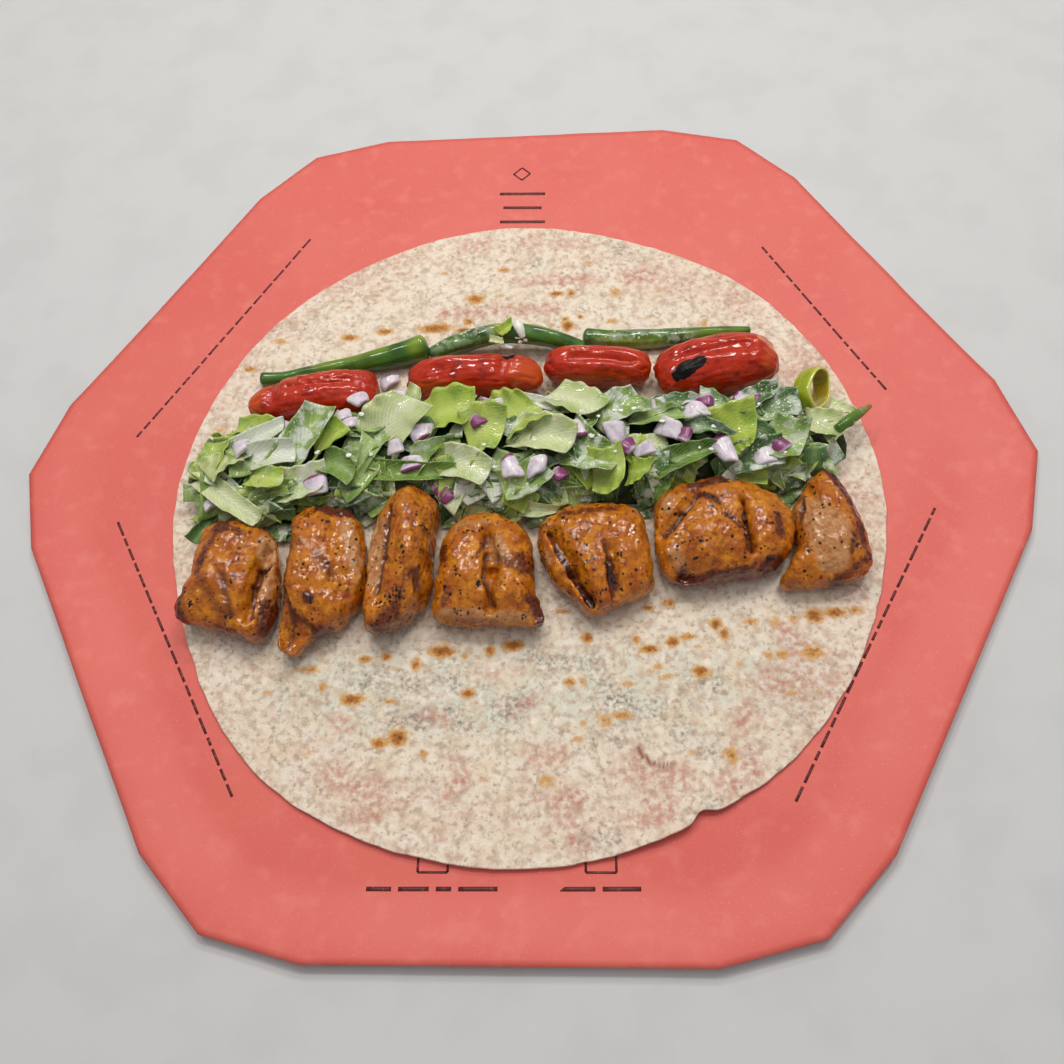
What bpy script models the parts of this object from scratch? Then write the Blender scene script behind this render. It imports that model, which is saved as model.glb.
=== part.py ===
"""An open flatbread wrap on its sheet of wrapping paper.

A thin round flatbread lies on a six-sided paper with blunt corners. A strip of dressed salad runs across
its middle, with seven pieces of grilled chicken in front of it, and four grilled tomatoes and three green
peppers behind it. A pickled pepper ring and the tip of a green chilli lie at the salad's right end.
+X is the diner's right, +Y is away from the diner and +Z is up. The origin is under the paper's middle.
"""

import math

import bmesh
import bpy
import numpy as np

# Every size below is in millimetres; MM turns it into metres as a mesh is made.
MM = 0.001
GAP = 0.3  # between pieces that touch
LIFT_FOOT = 0.1  # an edge that would lift by less than this lies flat

# Wrapping paper: a regular hexagon whose corners are each blunted by three points
PAPER_RADIUS = 226.9
PAPER_THICK = 0.4
CORNER_SHARE = 0.953
SHOULDER_SHARE = 0.922
SHOULDER_DEGREES = 10.0
PAPER_LIFT_FROM = 0.86  # share of the way to the edge where the edge starts to lift
PAPER_LIFTS = (
    (-90.0, 55.0, 4.5), (-150.0, 30.0, 2.5), (-30.0, 30.0, 3.0), (0.0, 20.0, 1.5), (180.0, 20.0, 1.0),
)
PAPER_RINGS = (0.45, 0.86, 0.94, 1.0)
PAPER_EDGE_STEPS = 2

# Flatbread
BREAD_CENTRE = (1.7, -15.6)
BREAD_RADIUS = 149.0
BREAD_THICK = 2.0
BREAD_RIM_THICK = 1.2
BREAD_WANDER = (
    (1, -3.1, 0.007), (2, 2.4, 0.004), (3, 1.3, 0.0055), (4, -2.1, 0.003), (5, -0.8, 0.004),
    (6, 3.0, 0.0026), (8, 1.3, 0.0034),
)
BREAD_NOTCH = (-62.5, 1.6, 3.0)  # direction and half-width in degrees, depth
BREAD_LIFTS = (
    (-66.0, 12.0, 2.6), (-100.0, 22.0, 1.2), (20.0, 18.0, 1.4), (150.0, 20.0, 1.2), (75.0, 25.0, 1.0),
)
BREAD_LIFT_FROM = 0.90
BREAD_RINGS = (0.45, 0.90, 0.96, 1.0)
BREAD_SIDES = 72

# What lies on the bread starts here
TABLE = PAPER_THICK + GAP + BREAD_THICK + GAP

# Chicken: outline, height, and strokes (x0, y0, x1, y1, half-width, rise) that raise ridges or sink creases
CHICKEN = (
    (
        ((-126, -33), (-112, -31), (-99, -37), (-94.5, -50), (-93.5, -68), (-96, -80), (-104, -82),
         (-118, -76), (-133, -72), (-130, -54), (-129, -41)),
        19.0,
        ((-98, -46, -103, -75, 2.4, -4.5), (-118, -50, -115, -60, 10.0, 1.6),
         (-126, -40, -113, -48, 3.0, -1.8)),
    ),
    (
        ((-89, -28), (-77, -25), (-64, -30), (-59.8, -44), (-59.6, -65), (-67, -75), (-78, -82), (-84, -88),
         (-90, -84), (-90.3, -65), (-90.5, -44)),
        20.0,
        ((-84, -80, -88, -90, 7.0, -8.0), (-86, -38, -84, -68, 5.0, 1.5), (-71, -32, -67, -66, 3.0, -1.8)),
    ),
    (
        ((-48, -20), (-40, -17), (-31.5, -26), (-31.8, -44), (-33.2, -65), (-44, -77), (-53, -80),
         (-57.4, -75), (-57.6, -57), (-56.6, -37)),
        22.0,
        ((-43, -26, -38, -50, 5.5, 3.5), (-38, -50, -38, -72, 5.5, 3.0), (-53, -37, -52, -66, 5.0, -4.0)),
    ),
    (
        ((-28, -39), (-20, -31), (-5, -30), (5, -38), (7.6, -49), (9.6, -64), (12, -76), (-1, -77),
         (-16, -76), (-30, -73), (-29.6, -55)),
        19.5,
        ((-10, -40, -7, -57, 2.2, -4.0), (-7, -57, -8, -72, 2.2, -4.0), (1, -60, 1, -62, 8.0, 2.0),
         (-20, -50, -20, -56, 8.0, 1.5), (11, -75, 13, -77, 6.0, -5.0)),
    ),
    (
        ((12.5, -33), (25, -27), (41, -26.5), (52, -31), (54, -47), (54.4, -62), (44, -68), (31, -72.5),
         (24, -67), (13.8, -55), (10, -42)),
        20.0,
        ((16, -41, 25, -58, 2.2, -5.0), (25, -58, 31, -70, 2.2, -5.0), (39, -50, 40, -67, 2.4, -2.8),
         (46, -44, 46, -48, 8.0, 1.2)),
    ),
    (
        ((58, -25), (69, -18), (84, -16), (100, -20), (110, -31), (109.5, -46), (101, -55.5), (87, -59),
         (66, -61), (57.6, -53), (56.2, -37)),
        20.5,
        ((59, -42, 73, -27, 2.4, -3.2), (91, -30, 92, -50, 2.2, -4.2), (78, -42, 80, -44, 9.0, 1.6),
         (101, -36, 101, -42, 5.0, 1.2), (66, -60, 68, -61, 5.0, -8.0)),
    ),
    (
        ((125, -12), (133, -21), (138, -37), (139.5, -52), (135, -58), (120, -61.5), (105, -61),
         (112.5, -45), (113, -27)),
        17.5,
        ((121, -42, 123, -46, 9.0, 1.6), (117, -20, 120, -32, 2.4, -2.2)),
    ),
)
CHICKEN_SIDES = 30
CHICKEN_LEVELS = (-48.0, -14.0, 10.0, 34.0, 54.0, 70.0)

# Tomatoes: centre, half-length, half-width, turn in degrees, taper towards the left, height, and strokes
TOMATOES = (
    (-89.0, 30.0, 29.0, 10.8, 7.0, 0.24, 19.0,
     ((-106, 26, -106, 34, 3.0, -2.5), (-98, 30, -72, 33, 2.2, -1.5))),
    (-18.5, 38.0, 29.5, 9.6, 1.0, 0.0, 20.0, ((-34, 41, -8, 41, 3.0, 1.0), (-6, 33, -4, 45, 2.4, -1.4))),
    (35.5, 42.5, 23.0, 8.8, -4.0, 0.0, 18.5, ((24, 42, 50, 40, 2.0, -1.8),)),
    (86.0, 40.5, 26.2, 13.0, 10.0, 0.0, 22.0, ((70, 38, 98, 44, 2.4, -1.6), (102, 36, 104, 48, 3.0, 1.0))),
)
TOMATO_SQUARENESS = 3.0
TOMATO_SIDES = 26
TOMATO_LEVELS = (-54.0, -16.0, 12.0, 38.0, 62.0)

# Peppers: centreline points (x, y, height over the bread's top) and the radius at each
PEPPERS = (
    ((-115, 44, 3.4), (-105, 45.5, 2.8), (-92, 48, 3.4), (-72, 51, 4.4), (-55, 54, 5.4), (-43.5, 57.5, 6.0)),
    ((-38, 55, 4.0), (-27, 58.5, 6.5), (-8, 61.5, 9.5), (12, 60, 8.0), (28, 56, 4.0)),
    ((31, 62, 4.2), (42, 60.5, 4.3), (58, 60, 4.3), (74, 61, 4.0), (90, 63, 3.2), (103, 64.5, 2.2)),
)
PEPPER_RADII = (
    (3.2, 2.6, 3.2, 4.2, 5.2, 5.8),
    (3.8, 4.4, 4.6, 4.4, 3.6),
    (3.9, 4.2, 4.2, 3.9, 3.0, 1.9),
)
PEPPER_SIDES = 10
PEPPER_STEPS = 12

# Pickled pepper ring: a band round an oval hole, leaning back on the leaves
RING_CENTRE = (125.5, 27.3, 9.6)
RING_HALF = (9.6, 7.0)  # to the middle of the band, along and across
RING_BAND = (0.8, 4.3)  # half the band's wall, half its width
RING_BLUNT = 0.5  # power of cosine and sine in the band's section
RING_LEAN = 48.0
RING_TURN = 67.0
RING_STEPS = 24
RING_SIDES = 8

# Chilli tip lying across the salad's right end
CHILLI = ((133, 6, 12.5), (138, 10, 12.0), (143.5, 14.5, 10.5), (148.5, 18.5, 9.0))
CHILLI_RADII = (2.0, 2.4, 2.0, 0.9)
CHILLI_SIDES = 8

# Salad: stations (x, front y, back y, height) of the heap that the leaves lie on
HEAP = (
    (-138, -12, 4, 6.0), (-130, -24, 12, 12.0), (-114, -29, 15, 15.0), (-98, -30, 15, 16.0),
    (-90, -26, 15, 16.5), (-77, -23, 16, 17.0), (-62, -25, 19, 17.0), (-52, -20, 24, 17.0),
    (-46, -16, 25, 17.0), (-38, -14, 25, 17.0), (-30, -19, 25, 17.0), (-24, -27, 25, 17.0),
    (-5, -28, 26, 17.0), (8, -29, 27, 17.0), (25, -25, 30, 17.0), (50, -24, 28, 17.0),
    (58, -20, 25, 17.0), (69, -15, 24, 17.0), (86, -13, 24, 16.0), (100, -17, 24, 15.0),
    (109, -20, 21, 14.0), (117, -12, 18, 12.0), (130, -7, 15, 9.0), (141, 0, 11, 5.0),
)
HEAP_STATIONS = 40
HEAP_ARC = 8
HEAP_CROWN = 2.4
HEAP_BUMPS = 46
HEAP_BUMP_RISE = 2.2

# Leaves that show: x, y, length, width, turn, pitch, roll and cup, angles in degrees
LEAVES = (
    (-118, -21, 42, 13, -38, 6, 8, 2.0), (-121, -8, 17, 13, 20, 10, -14, 2.0),
    (-109, 5, 26, 11, 24, 12, 6, 1.5), (-101, -4, 20, 12, 8, 4, 14, 2.5),
    (-89, 4, 32, 15, 55, 16, 12, 3.0), (-77, 2, 18, 14, 30, 18, -8, 3.0),
    (-102, -14, 16, 11, -15, 14, 0, 2.5), (-87, -15, 20, 15, 10, 12, 10, 2.5),
    (-73, -11, 18, 12, -30, 8, 14, 2.0), (-128, -4, 18, 12, 70, 8, -10, 2.0),
    (-112, 12, 20, 12, -12, 8, -12, 2.0), (-70, 12, 20, 12, -22, 6, -10, 2.0),
    (-50, 8, 28, 24, 48, 24, 8, 2.5), (-44, 18, 20, 12, 74, 30, 0, 2.0),
    (-29, 12, 24, 24, 18, 16, -10, 4.0), (-52, -6, 48, 10, -6, 4, 18, 2.5),
    (-57, 18, 18, 12, 12, 8, -12, 2.0), (-34, -4, 18, 14, 30, 10, 10, 2.0),
    (-12, 2, 17, 26, 10, 18, 6, 3.0), (-20, -12, 22, 15, -24, 12, 12, 2.5),
    (2, 13, 18, 27, 12, 20, -6, 4.0), (8, 21, 22, 10, -20, 10, -10, 2.0),
    (12, 1, 26, 17, -18, 14, 10, 3.0), (24, 20, 24, 17, -34, 14, -8, 2.0),
    (43, 13, 22, 17, 25, 16, -6, 3.0), (30, -4, 28, 25, -38, 18, 12, 3.5),
    (4, -16, 20, 14, 24, 10, 14, 2.5), (38, -13, 14, 20, 5, 20, 10, 2.5),
    (50, -14, 11, 15, -12, 34, 8, 1.5), (60, 12, 24, 16, -10, 12, -8, 2.5),
    (91, 5, 20, 29, 12, 24, 6, 4.5), (71, -8, 24, 12, 14, 10, 12, 2.5),
    (77, 4, 22, 16, -20, 12, 6, 2.5), (100, 19, 22, 14, 30, 12, -10, 2.5),
    (85, 16, 20, 14, -30, 10, -8, 2.0), (109, 13, 20, 15, 22, 14, 0, 2.5),
    (110, 1, 18, 20, -25, 16, 8, 3.0), (98, -8, 22, 14, 8, 10, 14, 3.0), (122, 6, 22, 7, 6, 10, 4, 1.0),
    (128, 10, 16, 14, -18, 12, 8, 1.5), (134, 6, 13, 12, 20, 8, 6, 1.5),
    (66, 19, 20, 12, 8, 10, -14, 2.0),
)
LEAF_THICK = 1.0
LEAF_STEPS = (3, 2)
LEAF_WAVES = 1.4
LEAF_SINK = 1.2
LEAF_SIZES = (1.0, 0.85, 0.7, 0.55)

# Red onion dice: x, y, length, width, thickness, turn
DICE = (
    (-104, 13, 8, 5, 3.0, 20), (-99, 12, 8, 4, 3.0, 70), (-114, -1, 7, 6, 3.0, 10),
    (-87, 11, 10, 5, 3.0, 80), (-82, -16, 10, 7, 3.0, 12), (-65, 17, 7, 6, 3.0, 30),
    (-53, 20, 7, 6, 3.0, 50), (-70, 10, 9, 4, 3.0, 20), (-38, 3, 9, 6, 3.5, 15),
    (-49, -3, 6, 5, 3.0, 0), (-42, -8, 9, 5, 3.0, 8), (-28, -18, 7, 8, 3.5, 30),
    (-11, 16, 6, 7, 3.5, 10), (-14, 9, 7, 5, 3.0, 40), (25, 3, 7, 6, 3.0, 25), (42, 1, 7, 9, 3.5, 15),
    (47, -5, 6, 5, 3.0, 40), (53, -7, 7, 4, 3.0, 30), (-1, -13, 7, 9, 3.5, 20),
    (19, -15, 5, 5, 3.0, 45), (9, -13, 8, 7, 3.0, 0), (75, 11, 10, 7, 3.5, 10),
    (63, 3, 15, 8, 3.5, -25), (85, -5, 9, 12, 3.0, 25), (95, 20, 9, 5, 3.0, 60),
    (103, 19, 6, 5, 3.0, 30), (107, -4, 7, 6, 3.0, 50), (79, 17, 6, 5, 3.0, 15),
)
DICE_SINK = 1.0

SEED = 7
FLAT_DEGREES = 1.0  # faces of the joined heap that lie this close to one plane become one


def finish(name, colour, roughness):
    """A plain material: base colour as linear red, green and blue."""
    made = bpy.data.materials.new(name)
    made.use_nodes = True
    shader = made.node_tree.nodes["Principled BSDF"]
    shader.inputs["Base Color"].default_value = (*colour, 1.0)
    shader.inputs["Roughness"].default_value = roughness
    shader.inputs["Metallic"].default_value = 0.0
    made.diffuse_color = (*colour, 1.0)
    return made


def add_piece(name, points, faces, material, smooth=True):
    """One object from points in millimetres, with its faces split into triangles and turned outwards."""
    mesh = bpy.data.meshes.new(name)
    mesh.from_pydata((np.asarray(points) * MM).tolist(), [], faces)
    shell = bmesh.new()
    shell.from_mesh(mesh)
    bmesh.ops.triangulate(shell, faces=shell.faces[:])
    bmesh.ops.recalc_face_normals(shell, faces=shell.faces[:])
    shell.to_mesh(mesh)
    shell.free()
    if smooth:
        mesh.shade_smooth()
        mesh.set_sharp_from_angle(angle=math.radians(50))
    piece = bpy.data.objects.new(name, mesh)
    piece.data.materials.append(material)
    bpy.context.scene.collection.objects.link(piece)
    return piece


def smoothstep(value):
    """0 below 0, 1 above 1, and an even rise between."""
    clipped = np.clip(value, 0.0, 1.0)
    return clipped * clipped * (3.0 - 2.0 * clipped)


def lifted(angles, lifts):
    """How high an edge lifts in each direction: bells (direction, half-width, rise), flat at their feet."""
    total = np.zeros(np.shape(angles))
    for direction, width, rise in lifts:
        off = (angles - direction + 180.0) % 360.0 - 180.0
        total += rise * np.exp(-((off / width) ** 2))
    return np.where(total < LIFT_FOOT, 0.0, total)


def smooth_closed(points, count):
    """A closed Catmull-Rom curve through the points, read at equal steps of its length."""
    knots = np.asarray(points, float)
    before, here, after, beyond = (np.roll(knots, shift, axis=0)[:, None, :] for shift in (1, 0, -1, -2))
    t = np.linspace(0.0, 1.0, 24, endpoint=False)[None, :, None]
    curve = 0.5 * (
        2 * here
        + (after - before) * t
        + (2 * before - 5 * here + 4 * after - beyond) * t**2
        + (3 * here - before - 3 * after + beyond) * t**3
    ).reshape(-1, knots.shape[1])
    loop = np.vstack([curve, curve[:1]])
    run = np.concatenate([[0.0], np.cumsum(np.linalg.norm(np.diff(loop, axis=0), axis=1))])
    at = np.linspace(0.0, run[-1], count, endpoint=False)
    return np.column_stack([np.interp(at, run, loop[:, axis]) for axis in range(knots.shape[1])])


def smooth_open(points, count):
    """An open Catmull-Rom curve through the points, at equal steps of its length."""
    knots = np.asarray(points, float)
    padded = np.vstack([2 * knots[0] - knots[1], knots, 2 * knots[-1] - knots[-2]])
    before, here, after, beyond = (padded[k : len(padded) - 3 + k][:, None, :] for k in range(4))
    t = np.linspace(0.0, 1.0, 24, endpoint=False)[None, :, None]
    curve = 0.5 * (
        2 * here
        + (after - before) * t
        + (2 * before - 5 * here + 4 * after - beyond) * t**2
        + (3 * here - before - 3 * after + beyond) * t**3
    ).reshape(-1, knots.shape[1])
    line = np.vstack([curve, knots[-1:]])
    run = np.concatenate([[0.0], np.cumsum(np.linalg.norm(np.diff(line[:, :3], axis=0), axis=1))])
    at = np.linspace(0.0, run[-1], count)
    return np.column_stack([np.interp(at, run, line[:, axis]) for axis in range(knots.shape[1])])


def stroke_rise(x, y, strokes):
    """Height added at (x, y): each stroke is a bell across the segment it follows."""
    rise = np.zeros(np.shape(x))
    for x0, y0, x1, y1, width, height in strokes:
        along = np.array([x1 - x0, y1 - y0], float)
        length = max(float(along @ along), 1e-9)
        share = np.clip(((x - x0) * along[0] + (y - y0) * along[1]) / length, 0.0, 1.0)
        away = np.hypot(x - x0 - share * along[0], y - y0 - share * along[1])
        rise += height * np.exp(-((away / width) ** 2))
    return rise


def ring_faces(rings, sides, first=0):
    """Quads between rings of the same number of points."""
    faces = []
    for ring in range(rings - 1):
        start = first + ring * sides
        for side in range(sides):
            beside = (side + 1) % sides
            faces.append((start + side, start + beside, start + sides + beside, start + sides + side))
    return faces


def capped(rings, low, high):
    """Points and faces of a closed shell: rings from the lowest to the highest, and a pole at each end."""
    sides = len(rings[0])
    points = np.vstack([*rings, [low], [high]])
    faces = ring_faces(len(rings), sides)
    low_pole, high_pole = len(points) - 2, len(points) - 1
    last = (len(rings) - 1) * sides
    for side in range(sides):
        beside = (side + 1) % sides
        faces.append((low_pole, beside, side))
        faces.append((high_pole, last + side, last + beside))
    return points, faces


def lump(outline, height, strokes, levels, belly=0.42, crown=2.5, foot=3.2):
    """A rounded lump over an outline.

    At level angle a the outline shrinks towards its middle by cos(a) to the power 2 / crown, and the height
    grows from the belly line by sin(a) to the same power. Below the belly line foot takes crown's place.
    """
    middle = outline.mean(axis=0)
    rings = []
    for level in levels:
        angle = math.radians(level)
        power = 2.0 / (crown if level > 0 else foot)
        share = math.cos(angle) ** power
        flat = middle + share * (outline - middle)
        rise = abs(math.sin(angle)) ** power
        z = belly + (1.0 - belly) * rise if level > 0 else belly * (1.0 - rise)
        relief = stroke_rise(flat[:, 0], flat[:, 1], strokes) * smoothstep(math.sin(angle) / 0.6)
        rings.append(np.column_stack([flat, TABLE + height * z + relief]))
    peak = height + stroke_rise(middle[:1], middle[1:], strokes)[0]
    return capped(rings, (*middle, TABLE), (*middle, TABLE + peak))


def superellipse(centre, half, turn, squareness, count, taper=0.0):
    """Points round an oval whose flanks are fuller than an ellipse's, narrower to the left by taper."""
    angles = np.linspace(0.0, 2.0 * math.pi, count, endpoint=False)
    power = 2.0 / squareness
    across = half[0] * np.sign(np.cos(angles)) * np.abs(np.cos(angles)) ** power
    along = half[1] * np.sign(np.sin(angles)) * np.abs(np.sin(angles)) ** power
    along *= 1.0 + taper * across / half[0]
    c, s = math.cos(math.radians(turn)), math.sin(math.radians(turn))
    return np.column_stack([centre[0] + c * across - s * along, centre[1] + s * across + c * along])


def tube(points, radii, steps, sides, blunt=0.55):
    """A tube along a smooth line, its radius read between the given ones, with a tip at each end."""
    line = smooth_open(np.column_stack([np.asarray(points, float), radii]), steps)
    path, size = line[:, :3], line[:, 3]
    ahead = np.gradient(path, axis=0)
    ahead /= np.linalg.norm(ahead, axis=1, keepdims=True)
    beside = np.cross(ahead, (0.0, 0.0, 1.0))
    beside /= np.linalg.norm(beside, axis=1, keepdims=True)
    over = np.cross(beside, ahead)
    angles = np.linspace(0.0, 2.0 * math.pi, sides, endpoint=False)[:, None]
    rings = [
        path[k] + size[k] * (np.cos(angles) * beside[k] + np.sin(angles) * over[k]) for k in range(steps)
    ]
    low = path[0] - blunt * size[0] * ahead[0]
    high = path[-1] + blunt * size[-1] * ahead[-1]
    return capped(rings, low, high)


def paper_outline():
    """The sheet's edge: the blunted hexagon with each side split in equal steps."""
    corners = []
    for turn in range(0, 360, 60):
        for off, share in (
            (-SHOULDER_DEGREES, SHOULDER_SHARE),
            (0.0, CORNER_SHARE),
            (SHOULDER_DEGREES, SHOULDER_SHARE),
        ):
            angle = math.radians(turn + off)
            corners.append((share * PAPER_RADIUS * math.cos(angle), share * PAPER_RADIUS * math.sin(angle)))
    corners = np.array(corners)
    after = np.roll(corners, -1, axis=0)
    steps = np.arange(PAPER_EDGE_STEPS) / PAPER_EDGE_STEPS
    return (corners[:, None, :] + (after - corners)[:, None, :] * steps[None, :, None]).reshape(-1, 2)


def build_paper(material):
    """The sheet: flat where the bread lies, with its edge lifted a little in front."""
    edge = paper_outline()
    angles = np.degrees(np.arctan2(edge[:, 1], edge[:, 0]))
    rise = lifted(angles, PAPER_LIFTS)
    lower, upper = [], []
    for share in PAPER_RINGS:
        lift = rise * smoothstep((share - PAPER_LIFT_FROM) / (1.0 - PAPER_LIFT_FROM))
        lower.append(np.column_stack([edge * share, lift]))
        upper.append(np.column_stack([edge * share, lift + PAPER_THICK]))
    points, faces = capped(lower + upper[::-1], (0.0, 0.0, 0.0), (0.0, 0.0, PAPER_THICK))
    return add_piece("wrapper_sheet", points, faces, material)


def bread_edge(count):
    """The bread's rim, with slow waves and one small tear, and the direction of each of its points."""
    angles = np.linspace(-180.0, 180.0, count, endpoint=False)
    radius = np.full(count, BREAD_RADIUS)
    for waves, phase, share in BREAD_WANDER:
        radius += BREAD_RADIUS * share * np.sin(waves * np.radians(angles) + phase)
    direction, width, depth = BREAD_NOTCH
    radius -= depth * np.exp(-(((angles - direction) / width) ** 2))
    return angles, radius


def build_bread(material):
    """A thin disc that thins and lifts a little at its rim."""
    angles, radius = bread_edge(BREAD_SIDES)
    rim = radius[:, None] * np.column_stack([np.cos(np.radians(angles)), np.sin(np.radians(angles))])
    rise = lifted(angles, BREAD_LIFTS)
    floor = PAPER_THICK + GAP
    lower, upper = [], []
    for share in BREAD_RINGS:
        outer = smoothstep((share - BREAD_LIFT_FROM) / (1.0 - BREAD_LIFT_FROM))
        thick = BREAD_THICK + (BREAD_RIM_THICK - BREAD_THICK) * outer
        flat = np.asarray(BREAD_CENTRE) + share * rim
        lower.append(np.column_stack([flat, floor + rise * outer]))
        upper.append(np.column_stack([flat, floor + rise * outer + thick]))
    low = (*BREAD_CENTRE, floor)
    high = (*BREAD_CENTRE, floor + BREAD_THICK)
    points, faces = capped(lower + upper[::-1], low, high)
    return add_piece("flatbread", points, faces, material)


def build_chicken(material):
    """The seven grilled pieces, left to right."""
    for number, (corners, height, strokes) in enumerate(CHICKEN, 1):
        outline = smooth_closed(corners, CHICKEN_SIDES)
        points, faces = lump(outline, height, strokes, CHICKEN_LEVELS)
        add_piece(f"chicken_{number}", points, faces, material)


def build_tomatoes(material):
    """The four grilled tomatoes, left to right."""
    for number, (x, y, length, width, turn, taper, height, strokes) in enumerate(TOMATOES, 1):
        outline = superellipse((x, y), (length, width), turn, TOMATO_SQUARENESS, TOMATO_SIDES, taper)
        points, faces = lump(outline, height, strokes, TOMATO_LEVELS, belly=0.45, crown=2.1, foot=2.4)
        add_piece(f"tomato_{number}", points, faces, material)


def above_bread(points):
    """The same points with their heights counted from the bread's top."""
    return [(x, y, z + TABLE) for x, y, z in points]


def build_peppers(material):
    """The three green peppers behind the tomatoes, left to right."""
    for number, (points, radii) in enumerate(zip(PEPPERS, PEPPER_RADII), 1):
        shell = tube(above_bread(points), radii, PEPPER_STEPS, PEPPER_SIDES)
        add_piece(f"pepper_{number}", *shell, material)


def build_ring(material):
    """The pickled pepper ring: an oval band with a blunt section, leaned over and turned."""
    turns = np.linspace(0.0, 2.0 * math.pi, RING_STEPS, endpoint=False)
    section = np.linspace(0.0, 2.0 * math.pi, RING_SIDES, endpoint=False) + math.pi / RING_SIDES
    across, over = (np.sign(wave) * np.abs(wave) ** RING_BLUNT for wave in (np.cos(section), np.sin(section)))
    wall, width = RING_BAND
    around = np.cos(turns)[:, None], np.sin(turns)[:, None]
    reach = wall * across[None, :]
    x = (RING_HALF[0] + reach) * around[0]
    y = (RING_HALF[1] + reach) * around[1]
    z = np.broadcast_to(width * over[None, :], x.shape)
    lean, turn = math.radians(RING_LEAN), math.radians(RING_TURN)
    y, z = y * math.cos(lean) - z * math.sin(lean), y * math.sin(lean) + z * math.cos(lean)
    x, y = x * math.cos(turn) - y * math.sin(turn), x * math.sin(turn) + y * math.cos(turn)
    points = np.stack([x, y, z], axis=-1).reshape(-1, 3) + np.array(RING_CENTRE) + (0.0, 0.0, TABLE)
    faces = ring_faces(RING_STEPS, RING_SIDES)
    last = (RING_STEPS - 1) * RING_SIDES
    for side in range(RING_SIDES):
        beside = (side + 1) % RING_SIDES
        faces.append((last + side, last + beside, beside, side))
    return add_piece("pickled_pepper_ring", points, faces, material)


def build_chilli(material):
    """The tip of a green chilli."""
    return add_piece("chilli_tip", *tube(above_bread(CHILLI), CHILLI_RADII, 6, CHILLI_SIDES), material)


def heap_bumps():
    """Bumps of leaf size on the heap, as strokes without length."""
    draw = np.random.default_rng(SEED)
    x = draw.uniform(-130, 135, HEAP_BUMPS)
    y = draw.uniform(-16, 20, HEAP_BUMPS)
    size = draw.uniform(5.0, 10.0, HEAP_BUMPS)
    rise = draw.uniform(-HEAP_BUMP_RISE, HEAP_BUMP_RISE, HEAP_BUMPS)
    return list(zip(x, y, x, y, size, rise))


def heap_top(x, y, bumps):
    """Height of the heap over (x, y): a rounded arch from its front line to its back line, and bumps."""
    stations = np.array(HEAP, float)
    front, back, height = (np.interp(x, stations[:, 0], stations[:, k]) for k in (1, 2, 3))
    middle, half = (front + back) / 2, (back - front) / 2
    share = np.clip(np.abs(y - middle) / half, 0.0, 1.0)
    arch = (1.0 - share**HEAP_CROWN) ** (1.0 / HEAP_CROWN)
    return TABLE + height * arch + stroke_rise(x, y, bumps) * smoothstep(arch / 0.7)


def heap_core(material, bumps):
    """The heap's core: arches at each station over a flat foot."""
    stations = np.array(HEAP, float)
    x = np.linspace(stations[0, 0], stations[-1, 0], HEAP_STATIONS)
    front, back = (np.interp(x, stations[:, 0], stations[:, k]) for k in (1, 2))
    angles = np.linspace(math.pi, 0.0, HEAP_ARC)
    across = np.sign(np.cos(angles)) * np.abs(np.cos(angles)) ** (2.0 / HEAP_CROWN)
    rings = []
    for k in range(HEAP_STATIONS):
        y = (front[k] + back[k]) / 2 + (back[k] - front[k]) / 2 * across
        along = np.full_like(y, x[k])
        z = heap_top(along, y, bumps)
        foot = np.column_stack([along[[-1, 0]], y[[-1, 0]] * 0.9 + y.mean() * 0.1, np.full(2, TABLE)])
        z[[0, -1]] = TABLE + 2.0
        rings.append(np.vstack([np.column_stack([along, y, z]), foot]))
    ends = [ring.mean(axis=0) for ring in (rings[0], rings[-1])]
    points, faces = capped(rings, ends[0] - (1.5, 0.0, 0.0), ends[1] + (1.5, 0.0, 0.0))
    return add_piece("salad", points, faces, material, smooth=False)


def turned(points, turn, pitch, roll):
    """Points rolled about X, pitched about Y and turned about Z, angles in degrees."""
    a, b, c = (math.radians(v) for v in (roll, pitch, turn))
    about_x = np.array([[1, 0, 0], [0, math.cos(a), -math.sin(a)], [0, math.sin(a), math.cos(a)]])
    about_y = np.array([[math.cos(b), 0, math.sin(b)], [0, 1, 0], [-math.sin(b), 0, math.cos(b)]])
    about_z = np.array([[math.cos(c), -math.sin(c), 0], [math.sin(c), math.cos(c), 0], [0, 0, 1]])
    return points @ (about_z @ about_y @ about_x).T


def leaf_shell(leaf, scale, number, bumps):
    """A torn leaf as a thin wavy slab: its edge is a blunt oval, and its middle sags between waves."""
    x, y, length, width, turn, pitch, roll, cup = leaf
    along, across = np.meshgrid(
        np.linspace(-1, 1, LEAF_STEPS[0] + 1), np.linspace(-1, 1, LEAF_STEPS[1] + 1), indexing="ij"
    )
    narrow = 1.0 - 0.45 * np.abs(along) ** 3
    flat_x = 0.5 * length * scale * along * (1.0 - 0.12 * across**2)
    flat_y = 0.5 * width * scale * across * narrow
    wave = 0.9 * np.sin(LEAF_WAVES * math.pi * along + number) * (0.3 + np.abs(across))
    bend = cup * scale * (across**2 - 0.35) - 0.8 * along**2
    sheet = np.stack([flat_x, flat_y, wave + bend], axis=-1).reshape(-1, 3)
    half = LEAF_THICK / 2
    shell = np.vstack([sheet - (0, 0, half), sheet + (0, 0, half)])
    shell = turned(shell, turn, -pitch, roll)
    top = heap_top(np.array([x]), np.array([y]), bumps)[0]
    return shell + (x, y, top + LEAF_SINK)


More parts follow.
